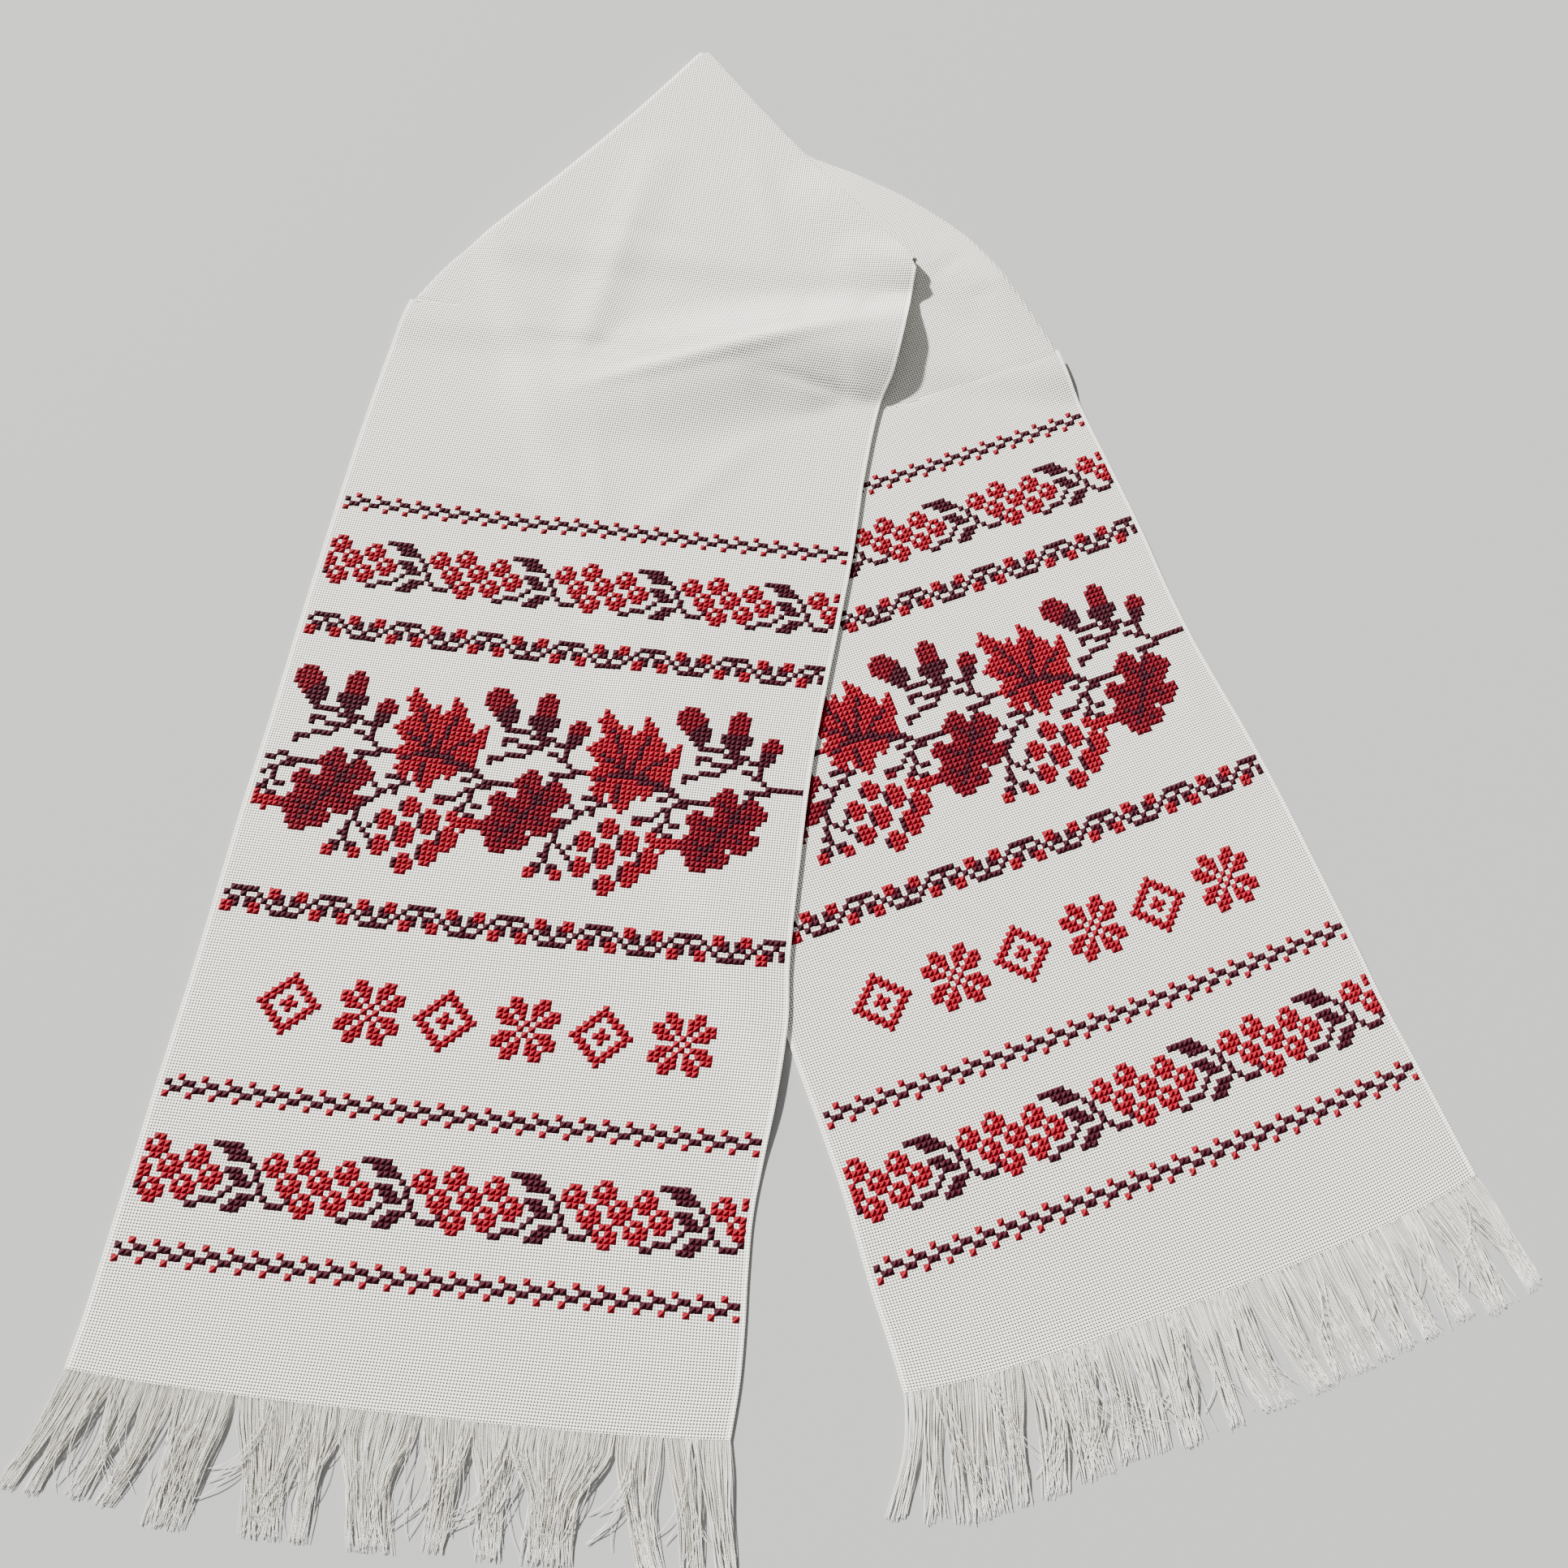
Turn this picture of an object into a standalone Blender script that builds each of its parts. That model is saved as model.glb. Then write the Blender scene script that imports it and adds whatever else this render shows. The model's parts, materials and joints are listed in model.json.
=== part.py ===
"""Embroidered ritual towel, laid as an inverted V.

One long strip of even weave cloth lies folded on a table.  Its left leg is on
top.  The strip turns under along two edges that meet in a peak, and comes out
again as the right leg, so both ends show their right side.  From the table up
the layers near the peak are: under layer, right leg, inner flap, left leg.
Each raw hem carries a loose thread fringe.

Metres, +Z up.  The origin is on the table, in the middle of the footprint.
The hems and their fringes lie towards -Y and the peak towards +Y.
"""

import math
import random

import bmesh
import bpy
import numpy as np

# Driving sizes of the cloth, in metres
cloth_width = 0.358
cloth_thick = 0.0012
layer_pitch = 0.0025
fringe_length = 0.064
fringe_gap = 0.0003
backing_depth = 0.0022
locks_per_end = 72

# How each leg lies: hem corner on its left, and the turn of its hem
left_leg_corner = (-0.3939, -0.4795)
left_leg_turn = math.radians(-1.61)
right_leg_corner = (0.0644, -0.4528)
right_leg_turn = math.radians(25.12)

# Middle of the whole footprint in the numbers below, moved to the origin at the end
footprint_middle = (0.00128, -0.00493)

# How far from its hem each selvage runs into a fold
left_leg_left_reach = 0.749
left_leg_right_reach = 0.824
right_leg_left_reach = 0.630

# The four fold lines, as (x, y) points from near the peak outwards
left_fold = (
    (-0.1710, 0.5426),
    (-0.2158, 0.4702),
    (-0.2592, 0.4061),
    (-0.2985, 0.3513),
    (-0.3320, 0.3049),
    (-0.3525, 0.2659),
)
flap_fold = (
    (-0.1631, 0.5432),
    (-0.1069, 0.4775),
    (-0.0450, 0.4095),
    (0.0175, 0.3415),
)
hidden_fold = (
    (-0.1720, 0.5230),
    (-0.2290, 0.4290),
    (-0.2870, 0.3420),
)
shoulder_fold = (
    (-0.1530, 0.5200),
    (-0.1200, 0.4815),
    (-0.0789, 0.4494),
    (-0.0328, 0.4302),
    (0.0087, 0.4102),
    (0.0502, 0.3818),
    (0.0767, 0.3534),
    (0.0983, 0.3233),
    (0.1184, 0.2905),
    (0.1299, 0.2704),
)

# Selvage wander of the left leg: distance from hem, left edge, right edge
left_leg_edges = (
    (0.000, -0.0075, -0.0024),
    (0.030, -0.0056, -0.0010),
    (0.060, -0.0048, -0.0019),
    (0.090, -0.0041, -0.0039),
    (0.120, -0.0034, -0.0050),
    (0.150, -0.0029, -0.0030),
    (0.190, -0.0018, 0.0004),
    (0.237, -0.0006, 0.0016),
    (0.272, -0.0002, -0.0016),
    (0.340, 0.0006, -0.0027),
    (0.408, 0.0025, -0.0024),
    (0.469, 0.0034, 0.0012),
    (0.567, 0.0059, 0.0078),
    (0.640, 0.0086, 0.0100),
    (0.700, 0.0122, 0.0150),
    (0.727, 0.0148, 0.0255),
    (0.784, 0.0240, 0.0326),
    (0.824, 0.0280, 0.0301),
)

# Selvage wander of the right leg: distance from hem, left edge, right edge
right_leg_edges = (
    (0.000, -0.0070, -0.0022),
    (0.030, -0.0054, -0.0021),
    (0.060, -0.0046, -0.0019),
    (0.110, -0.0012, -0.0024),
    (0.150, -0.0002, -0.0006),
    (0.200, -0.0002, 0.0007),
    (0.250, 0.0005, 0.0017),
    (0.300, 0.0007, 0.0014),
    (0.340, 0.0008, -0.0005),
    (0.375, 0.0010, -0.0016),
    (0.420, 0.0012, -0.0006),
    (0.460, 0.0014, 0.0022),
    (0.510, 0.0017, 0.0041),
    (0.570, 0.0020, 0.0056),
    (0.630, 0.0030, 0.0085),
    (0.800, 0.0050, 0.0140),
)

# Slant of the weft rows, as rise over run: distance from hem, left leg, right leg
row_slant = (
    (0.000, 0.027, -0.001),
    (0.166, 0.023, 0.005),
    (0.573, 0.007, 0.023),
    (0.820, -0.002, 0.032),
)
left_leg_bow = 0.0018
right_leg_bow = 0.0026

# Soft ridges of the left leg: start, end, height at each end, far and near half widths
left_leg_ridges = (
    # x1, y1, x2, y2, height 1, height 2, far width, near width
    (-0.240, 0.196, -0.055, 0.250, 0.004, 0.013, 0.060, 0.040),
    (-0.055, 0.250, 0.020, 0.262, 0.013, 0.014, 0.055, 0.042),
    (-0.195, 0.430, -0.225, 0.255, 0.002, 0.003, 0.030, 0.030),
    (0.000, 0.335, 0.030, 0.328, 0.003, 0.007, 0.020, 0.022),
)

# Soft ridges of the right leg
right_leg_ridges = (
    (-0.040, 0.395, 0.075, 0.330, 0.004, 0.007, 0.060, 0.050),
    (0.075, 0.330, 0.122, 0.270, 0.007, 0.003, 0.045, 0.045),
)

# A point well inside the four folds, and how far each fold's roll bulges
stack_middle = (-0.16, 0.40)
smallest_roll = 0.0016
roll_share = 0.62

# Mesh steps
leg_columns = 14
hem_rows = 34
selvage_rows = 6
fold_rows = 12
roll_steps = 5


def smooth_value(table, at, column):
    """Value of one table column, on a smooth curve through the table's rows."""
    last = len(table) - 1
    at = max(table[0][0], min(table[last][0], at))
    row = 0
    while row < last - 1 and at > table[row + 1][0]:
        row += 1
    before, low, high, after = (table[max(0, min(last, row + step))] for step in (-1, 0, 1, 2))
    width = high[0] - low[0]
    part = (at - low[0]) / width
    rise_low = (high[column] - before[column]) / (high[0] - before[0]) * width
    rise_high = (after[column] - low[column]) / (after[0] - low[0]) * width
    step = high[column] - low[column]
    curve = (3.0 * step - 2.0 * rise_low - rise_high) * part ** 2
    curve += (rise_low + rise_high - 2.0 * step) * part ** 3
    return low[column] + rise_low * part + curve


def leg_point(corner, turn, edges, slant_column, bow, across, along):
    """Ground point of a leg, from distances across and along the cloth."""
    share = across / cloth_width
    left = smooth_value(edges, along, 1)
    right = smooth_value(edges, along, 2)
    sideways = across + left + (right - left) * share
    slant = smooth_value(row_slant, along, slant_column)
    rise = along + slant * (across - cloth_width / 2) + bow * (2 * share - 1) ** 2
    x = corner[0] + math.cos(turn) * sideways - math.sin(turn) * rise
    y = corner[1] + math.sin(turn) * sideways + math.cos(turn) * rise
    return (x, y)


def left_leg_point(across, along):
    return leg_point(left_leg_corner, left_leg_turn, left_leg_edges, 1, left_leg_bow, across, along)


def right_leg_point(across, along):
    return leg_point(right_leg_corner, right_leg_turn, right_leg_edges, 2, right_leg_bow, across, along)


def along_line(points, count):
    """Evenly spaced points on a polyline, both ends included."""
    points = np.array(points, dtype=float)
    steps = np.hypot(*np.diff(points, axis=0).T)
    reach = np.concatenate([[0.0], np.cumsum(steps)])
    marks = np.linspace(0.0, reach[-1], count)
    return [(np.interp(m, reach, points[:, 0]), np.interp(m, reach, points[:, 1])) for m in marks]


def rounded_line(points, count):
    """A Catmull Rom curve through the points, evenly spaced."""
    pts = [np.array(p, dtype=float) for p in points]
    pts = [2 * pts[0] - pts[1]] + pts + [2 * pts[-1] - pts[-2]]
    fine = []
    for i in range(1, len(pts) - 2):
        a, b, c, d = pts[i - 1], pts[i], pts[i + 1], pts[i + 2]
        for step in range(8):
            t = step / 8
            fine.append(0.5 * (2 * b + (c - a) * t + (2 * a - 5 * b + 4 * c - d) * t * t
                               + (3 * b - a - 3 * c + d) * t ** 3))
    fine.append(pts[-2])
    return along_line(fine, count)


def outline_distance(outline, x, y):
    """Distance from a point to an area on the ground, 0 inside it."""
    inside = False
    nearest = 1e9
    for (x1, y1), (x2, y2) in zip(outline, outline[1:] + outline[:1]):
        if (y1 > y) != (y2 > y) and x < x1 + (y - y1) / (y2 - y1) * (x2 - x1):
            inside = not inside
        dx, dy = x2 - x1, y2 - y1
        size = dx * dx + dy * dy
        part = 0.0 if size == 0 else max(0.0, min(1.0, ((x - x1) * dx + (y - y1) * dy) / size))
        nearest = min(nearest, math.hypot(x - x1 - dx * part, y - y1 - dy * part))
    return 0.0 if inside else nearest


def step_over(outline, x, y, margin=0.014, ramp=0.030):
    """1 over an area and close round it, easing to 0 past it."""
    part = (outline_distance(outline, x, y) - margin) / ramp
    part = max(0.0, min(1.0, part))
    return 1.0 - part * part * (3.0 - 2.0 * part)


def ridge_height(ridges, x, y):
    """Height that the soft ridges of a leg add at a ground point."""
    tallest = 0.0
    for x1, y1, x2, y2, height1, height2, far, near in ridges:
        dx, dy = x2 - x1, y2 - y1
        size = math.hypot(dx, dy)
        part = ((x - x1) * dx + (y - y1) * dy) / size
        side = ((y - y1) * dx - (x - x1) * dy) / size
        over = max(0.0, -part, part - size)
        share = max(0.0, min(1.0, part / size))
        width = far if side > 0 else near
        reach = math.hypot(side / width, over / far)
        if reach < 1.0:
            crest = height1 + (height2 - height1) * share
            tallest = max(tallest, crest * (1 + math.cos(math.pi * reach)) / 2)
    return tallest


def ground_outlines(lines):
    """Areas that the under layer, the right leg and the inner flap cover."""
    under = lines["left fold"] + lines["shoulder"][::-1]
    flap = lines["hidden fold"] + lines["flap fold"][::-1]
    hem_side = [right_leg_point(share * cloth_width, 0.0) for share in (0.0, 0.5, 1.0)]
    outline_step = right_leg_left_reach / 7.0
    left_side = [right_leg_point(0.0, right_leg_left_reach - outline_step * step) for step in range(8)]
    right_side = [right_leg_point(cloth_width, outline_step * step) for step in range(8)]
    right_leg = lines["hidden fold"] + left_side + hem_side + right_side + lines["shoulder"][::-1]
    return under, right_leg, flap


def fold_lines():
    """Evenly spaced stations on each fold, from the peak outwards."""
    long_count = fold_rows + selvage_rows + 1
    return {
        "left fold": rounded_line(left_fold, long_count),
        "flap fold": rounded_line(flap_fold, fold_rows + 1),
        "hidden fold": rounded_line(hidden_fold, fold_rows + 1),
        "shoulder": rounded_line(shoulder_fold, long_count),
    }


def leg_rows(start, count, point_at):
    """Rows of a leg below its folds, closer together near the folds."""
    rows = []
    for row in range(1, count + 1):
        part = row / count
        along = start * (1.0 - part) * (1.0 + 0.35 * part)
        rows.append([point_at(cloth_width * c / leg_columns, along) for c in range(leg_columns + 1)])
    return rows


def straight_row(left, right, count):
    left, right = np.array(left), np.array(right)
    return [tuple(left + (right - left) * c / count) for c in range(count + 1)]


def inset(point, line, index, inwards, amount):
    """A fold station moved in from the fold by the radius of its roll."""
    before = np.array(line[max(index - 1, 0)])
    after = np.array(line[min(index + 1, len(line) - 1)])
    way = (after - before) / np.hypot(*(after - before))
    normal = np.array((-way[1], way[0]))
    if normal @ (np.array(inwards) - np.array(point)) < 0:
        normal = -normal
    return tuple(np.array(point) + normal * amount), tuple(-normal)


def build_cloth():
    """The whole strip as one sheet: four layers joined by four rolled folds."""
    lines = fold_lines()
    under, right_leg, flap = ground_outlines(lines)
    half = cloth_thick / 2

    def under_height(x, y):
        return half

    def right_height(x, y):
        return half + layer_pitch * step_over(under, x, y) + ridge_height(right_leg_ridges, x, y)

    def flap_height(x, y):
        return right_height(x, y) + layer_pitch

    def left_height(x, y):
        stack = step_over(right_leg, x, y) + step_over(flap, x, y)
        return right_height(x, y) + layer_pitch * stack + ridge_height(left_leg_ridges, x, y)

    heights = {"left": left_height, "under": under_height, "right": right_height, "flap": flap_height}
    mesh = bmesh.new()

    def fold_stations(name, upper, lower):
        """Upper and lower roll edges of one fold, and the way it bulges."""
        tops, bottoms, ways = [], [], []
        for index, point in enumerate(lines[name]):
            gap = heights[upper](*point) - heights[lower](*point)
            amount = max(smallest_roll, roll_share * gap)
            place, way = inset(point, lines[name], index, stack_middle, amount)
            tops.append(place)
            bottoms.append(place)
            ways.append((way, amount))
        return tops, bottoms, ways

    left_top, left_low, left_ways = fold_stations("left fold", "left", "under")
    flap_top, flap_low, flap_ways = fold_stations("flap fold", "left", "flap")
    hidden_top, hidden_low, hidden_ways = fold_stations("hidden fold", "flap", "right")
    shoulder_top, shoulder_low, shoulder_ways = fold_stations("shoulder", "right", "under")

    long_rows = fold_rows + selvage_rows

    right_edge = list(flap_top)
    for step in range(1, selvage_rows + 1):
        along = left_leg_right_reach + (left_leg_left_reach - left_leg_right_reach) * step / selvage_rows
        right_edge.append(left_leg_point(cloth_width, along))
    left_grid = [straight_row(left_top[i], right_edge[i], leg_columns) for i in range(long_rows + 1)]
    left_grid += leg_rows(left_leg_left_reach, hem_rows, left_leg_point)

    inner_end = right_leg_point(0.0, right_leg_left_reach)
    inner_edge = hidden_low + straight_row(hidden_fold[-1], inner_end, selvage_rows)[1:]
    right_grid = [straight_row(inner_edge[i], shoulder_top[i], leg_columns) for i in range(long_rows + 1)]
    right_grid += leg_rows(right_leg_left_reach, hem_rows - 4, right_leg_point)

    under_grid = [straight_row(left_low[i], shoulder_low[i], leg_columns) for i in range(long_rows + 1)]
    flap_grid = [straight_row(hidden_top[i], flap_low[i], leg_columns) for i in range(fold_rows + 1)]

    def add_grid(grid, height):
        """Vertices and faces of one layer."""
        verts = [[mesh.verts.new((x, y, height(x, y))) for x, y in row] for row in grid]
        for upper, lower in zip(verts, verts[1:]):
            for c in range(len(upper) - 1):
                mesh.faces.new((upper[c], lower[c], lower[c + 1], upper[c + 1]))
        return verts

    left_verts = add_grid(left_grid, left_height)
    right_verts = add_grid(right_grid, right_height)
    under_verts = add_grid(under_grid, under_height)
    flap_verts = add_grid(flap_grid, flap_height)

    def add_roll(tops, bottoms, ways):
        """Half round of cloth from one layer's edge to the next one's."""
        columns = [tops]
        for step in range(1, roll_steps):
            angle = math.pi * step / roll_steps
            column = []
            for top, bottom, (way, amount) in zip(tops, bottoms, ways):
                middle_height = (top.co.z + bottom.co.z) / 2
                reach = amount * math.sin(angle)
                rise = (top.co.z - bottom.co.z) / 2 * math.cos(angle)
                column.append(mesh.verts.new((top.co.x + way[0] * reach, top.co.y + way[1] * reach,
                                              middle_height + rise)))
            columns.append(column)
        columns.append(bottoms)
        for near, far in zip(columns, columns[1:]):
            for i in range(len(near) - 1):
                mesh.faces.new((near[i], near[i + 1], far[i + 1], far[i]))

    last = fold_rows + 1
    add_roll([row[0] for row in left_verts[:long_rows + 1]], [row[0] for row in under_verts], left_ways)
    add_roll([row[-1] for row in left_verts[:last]], [row[-1] for row in flap_verts], flap_ways)
    add_roll([row[0] for row in flap_verts], [row[0] for row in right_verts[:last]], hidden_ways)
    add_roll([row[-1] for row in right_verts[:long_rows + 1]], [row[-1] for row in under_verts], shoulder_ways)

    bmesh.ops.recalc_face_normals(mesh, faces=mesh.faces)
    cloth = finish_object("cloth", mesh, (0.86, 0.85, 0.81), 0.9)
    solidify = cloth.modifiers.new("thickness", "SOLIDIFY")
    solidify.thickness = cloth_thick
    solidify.offset = 0.0
    return cloth


def build_fringe(name, point_at, left_sweep, right_sweep, seed):
    """Loose hem threads gathered in locks, their roots fused in a thin strip."""
    draw = random.Random(seed)
    mesh = bmesh.new()
    marks = 2 * locks_per_end + 1
    inner_low, inner_top, outer_low, outer_top, outward = [], [], [], [], []
    for mark in range(marks + 1):
        across = cloth_width * (mark + 0.05) / (marks + 0.1)
        here = np.array(point_at(across, 0.0))
        beside = np.array(point_at(across + 0.001, 0.0))
        way = (beside - here) / np.hypot(*(beside - here))
        normal = np.array((way[1], -way[0]))
        inner = here + normal * fringe_gap
        outer = inner + normal * backing_depth
        inner_low.append(mesh.verts.new((*inner, 0.0)))
        inner_top.append(mesh.verts.new((*inner, cloth_thick)))
        outer_low.append(mesh.verts.new((*outer, 0.0)))
        outer_top.append(mesh.verts.new((*outer, cloth_thick)))
        outward.append(normal)
    for m in range(marks):
        mesh.faces.new((inner_low[m], inner_low[m + 1], inner_top[m + 1], inner_top[m]))
        mesh.faces.new((inner_top[m], inner_top[m + 1], outer_top[m + 1], outer_top[m]))
        mesh.faces.new((inner_low[m], outer_low[m], outer_low[m + 1], inner_low[m + 1]))
        if m % 2 == 0:
            mesh.faces.new((outer_low[m], outer_top[m], outer_top[m + 1], outer_low[m + 1]))
    mesh.faces.new((inner_low[0], inner_top[0], outer_top[0], outer_low[0]))
    mesh.faces.new((inner_low[-1], outer_low[-1], outer_top[-1], inner_top[-1]))

    lock_pitch = cloth_width / locks_per_end
    for lock in range(locks_per_end):
        m = 2 * lock + 1
        share = lock / (locks_per_end - 1)
        sweep = left_sweep + (right_sweep - left_sweep) * share
        tuft = lock % 3 - 1
        lean = sweep - 0.20 * tuft * lock_pitch / fringe_length * draw.uniform(0.6, 1.4)
        length = fringe_length * draw.uniform(0.93, 1.04)
        normal = outward[m]
        along_hem = np.array((-normal[1], normal[0]))
        ring = [outer_low[m], outer_low[m + 1], outer_top[m + 1], outer_top[m]]
        root = np.array([0.5 * (ring[0].co[k] + ring[1].co[k]) for k in (0, 1)])
        root_width = (ring[1].co - ring[0].co).length
        for step, part in enumerate((0.34, 0.68, 1.0)):
            ahead = length * part
            drift = length * lean * part * part
            centre = root + normal * ahead + along_hem * drift
            width = root_width * (1.0 - 0.62 * part)
            tall = cloth_thick * (1.0 - 0.35 * part)
            side = along_hem * (width / 2)
            low_a = mesh.verts.new((*(centre - side), 0.0))
            low_b = mesh.verts.new((*(centre + side), 0.0))
            top_b = mesh.verts.new((*(centre + side), tall))
            top_a = mesh.verts.new((*(centre - side), tall))
            new_ring = [low_a, low_b, top_b, top_a]
            for k in range(4):
                mesh.faces.new((ring[k], new_ring[k], new_ring[(k + 1) % 4], ring[(k + 1) % 4]))
            ring = new_ring
        mesh.faces.new(ring)
    bmesh.ops.recalc_face_normals(mesh, faces=mesh.faces)
    return finish_object(name, mesh, (0.84, 0.82, 0.77), 0.7)


def finish_object(name, mesh, colour, roughness):
    """Object with its own material, made from a finished bmesh."""
    for vert in mesh.verts:
        vert.co.x -= footprint_middle[0]
        vert.co.y -= footprint_middle[1]
    data = bpy.data.meshes.new(name)
    mesh.to_mesh(data)
    mesh.free()
    made = bpy.data.objects.new(name, data)
    bpy.context.collection.objects.link(made)
    material = bpy.data.materials.new(name)
    material.use_nodes = True
    shader = material.node_tree.nodes["Principled BSDF"]
    shader.inputs["Base Color"].default_value = (*colour, 1.0)
    shader.inputs["Roughness"].default_value = roughness
    shader.inputs["Metallic"].default_value = 0.0
    data.materials.append(material)
    return made


def main():
    for old in list(bpy.data.objects):
        bpy.data.objects.remove(old, do_unlink=True)
    build_cloth()
    build_fringe("fringe_left", left_leg_point, -0.30, 0.10, 11)
    build_fringe("fringe_right", right_leg_point, -0.28, 0.16, 23)


main()
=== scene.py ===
"""Embroidered ritual towel: fine cloth, cross stitch, thread fringe and studio."""

import json
import math
import random

import bpy
import numpy as np
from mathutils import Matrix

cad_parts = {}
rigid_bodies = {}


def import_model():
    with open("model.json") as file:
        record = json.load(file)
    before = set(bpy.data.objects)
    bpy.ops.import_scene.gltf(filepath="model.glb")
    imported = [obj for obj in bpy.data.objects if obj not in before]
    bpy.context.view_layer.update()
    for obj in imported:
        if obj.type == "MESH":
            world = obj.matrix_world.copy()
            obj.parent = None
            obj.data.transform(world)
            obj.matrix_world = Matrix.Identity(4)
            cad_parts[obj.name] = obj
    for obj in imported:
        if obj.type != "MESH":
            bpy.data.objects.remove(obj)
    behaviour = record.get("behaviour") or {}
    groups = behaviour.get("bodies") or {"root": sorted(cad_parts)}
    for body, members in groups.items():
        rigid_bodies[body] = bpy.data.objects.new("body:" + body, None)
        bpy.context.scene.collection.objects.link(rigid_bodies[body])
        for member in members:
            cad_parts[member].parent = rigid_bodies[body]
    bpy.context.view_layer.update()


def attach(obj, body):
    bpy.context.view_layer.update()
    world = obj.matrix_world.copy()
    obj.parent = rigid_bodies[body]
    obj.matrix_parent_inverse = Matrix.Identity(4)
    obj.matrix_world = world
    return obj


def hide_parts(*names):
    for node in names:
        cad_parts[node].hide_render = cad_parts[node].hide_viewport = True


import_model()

bl_info = {
    "name": "Embroidered towel",
    "version": (1, 0, 0),
    "blender": (4, 5, 0),
    "location": "3D View > Sidebar > Towel",
    "description": "Builds a folded ritual towel with cross stitch bands and thread fringe",
    "category": "Object",
}

# How each leg lies: hem corner on its left, and the turn of its hem
left_leg_corner = (-0.39518, -0.47457)
left_leg_turn = math.radians(-1.61)
right_leg_corner = (0.06312, -0.44787)
right_leg_turn = math.radians(25.12)

# How far from its hem each selvage runs into a fold
left_leg_left_reach = 0.749
left_leg_right_reach = 0.824
right_leg_left_reach = 0.630

# The four fold lines, as (x, y) points from near the peak outwards
left_fold = (
    (-0.17228, 0.54753),
    (-0.21708, 0.47513),
    (-0.26048, 0.41103),
    (-0.29978, 0.35623),
    (-0.33328, 0.30983),
    (-0.35378, 0.27083),
)
flap_fold = (
    (-0.16438, 0.54813),
    (-0.10818, 0.48243),
    (-0.04628, 0.41443),
    (0.01622, 0.34643),
)
hidden_fold = (
    (-0.17328, 0.52793),
    (-0.23028, 0.43393),
    (-0.28828, 0.34693),
)
shoulder_fold = (
    (-0.15428, 0.52493),
    (-0.12128, 0.48643),
    (-0.08018, 0.45433),
    (-0.03408, 0.43513),
    (0.00742, 0.41513),
    (0.04892, 0.38673),
    (0.07542, 0.35833),
    (0.09702, 0.32823),
    (0.11712, 0.29543),
    (0.12862, 0.27533),
)
stack_middle = (-0.1613, 0.4049)

# Selvage wander of the left leg: distance from hem, left edge, right edge
left_leg_edges = (
    (0.000, -0.0075, -0.0024),
    (0.030, -0.0056, -0.0010),
    (0.060, -0.0048, -0.0019),
    (0.090, -0.0041, -0.0039),
    (0.120, -0.0034, -0.0050),
    (0.150, -0.0029, -0.0030),
    (0.190, -0.0018, 0.0004),
    (0.237, -0.0006, 0.0016),
    (0.272, -0.0002, -0.0016),
    (0.340, 0.0006, -0.0027),
    (0.408, 0.0025, -0.0024),
    (0.469, 0.0034, 0.0012),
    (0.567, 0.0059, 0.0078),
    (0.640, 0.0086, 0.0100),
    (0.700, 0.0122, 0.0150),
    (0.727, 0.0148, 0.0222),
    (0.784, 0.0240, 0.0280),
    (0.824, 0.0280, 0.0301),
)

# Selvage wander of the right leg: distance from hem, left edge, right edge
right_leg_edges = (
    (0.000, -0.0070, -0.0022),
    (0.030, -0.0054, -0.0021),
    (0.060, -0.0046, -0.0019),
    (0.110, -0.0012, -0.0024),
    (0.150, -0.0002, -0.0006),
    (0.200, -0.0002, 0.0007),
    (0.250, 0.0005, 0.0017),
    (0.300, 0.0007, 0.0014),
    (0.340, 0.0008, -0.0005),
    (0.375, 0.0010, -0.0016),
    (0.420, 0.0012, -0.0006),
    (0.460, 0.0014, 0.0022),
    (0.510, 0.0017, 0.0041),
    (0.570, 0.0020, 0.0056),
    (0.630, 0.0030, 0.0085),
    (0.800, 0.0050, 0.0140),
)

# Slant of the weft rows, as rise over run: distance from hem, left leg, right leg
row_slant = (
    (0.000, 0.0195, -0.0155),
    (0.045, 0.026, -0.0065),
    (0.090, 0.025, -0.001),
    (0.166, 0.023, 0.005),
    (0.573, 0.007, 0.023),
    (0.820, -0.002, 0.032),
)
left_leg_bow = 0.0018
right_leg_bow = 0.0026

# How the rows lie near the hems: distance from hem, then for the left and for
# the right leg how far the row is shifted and how far its ends turn up
hem_sag = (
    (0.000, 0.0020, 0.0029, -0.0039, 0.0078),
    (0.045, 0.0004, 0.0006, -0.0032, 0.0044),
    (0.061, 0.0000, 0.0000, -0.0028, 0.0030),
    (0.113, 0.0000, 0.0000, -0.0006, 0.0014),
    (0.160, 0.0000, 0.0000, 0.0000, 0.0000),
)

# Soft ridges of the left leg: start, end, height at each end, far and near half
# widths, and how sharply the near side meets the cloth below it
left_leg_ridges = (
    # x1, y1, x2, y2, height 1, height 2, far width, near width, foot 1, foot 2
    (-0.2420, 0.1980, -0.1712, 0.2207, 0.0025, 0.0085, 0.055, 0.060, 0.0, 0.0),
    (-0.1712, 0.2207, -0.1120, 0.2448, 0.0085, 0.0125, 0.060, 0.066, 0.0, 0.1),
    (-0.1120, 0.2448, -0.0700, 0.2590, 0.0125, 0.0134, 0.058, 0.058, 0.1, 0.6),
    (-0.0700, 0.2590, -0.0300, 0.2720, 0.0134, 0.0138, 0.052, 0.054, 0.6, 1.0),
    (-0.0300, 0.2720, 0.0160, 0.2860, 0.0138, 0.0125, 0.042, 0.058, 1.0, 1.0),
    (-0.1930, 0.4250, -0.2270, 0.2200, 0.0014, 0.0024, 0.030, 0.030, 0.0, 0.0),
    (-0.0240, 0.3480, 0.0300, 0.3400, 0.0030, 0.0090, 0.028, 0.030, 0.0, 0.0),
)

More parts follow.
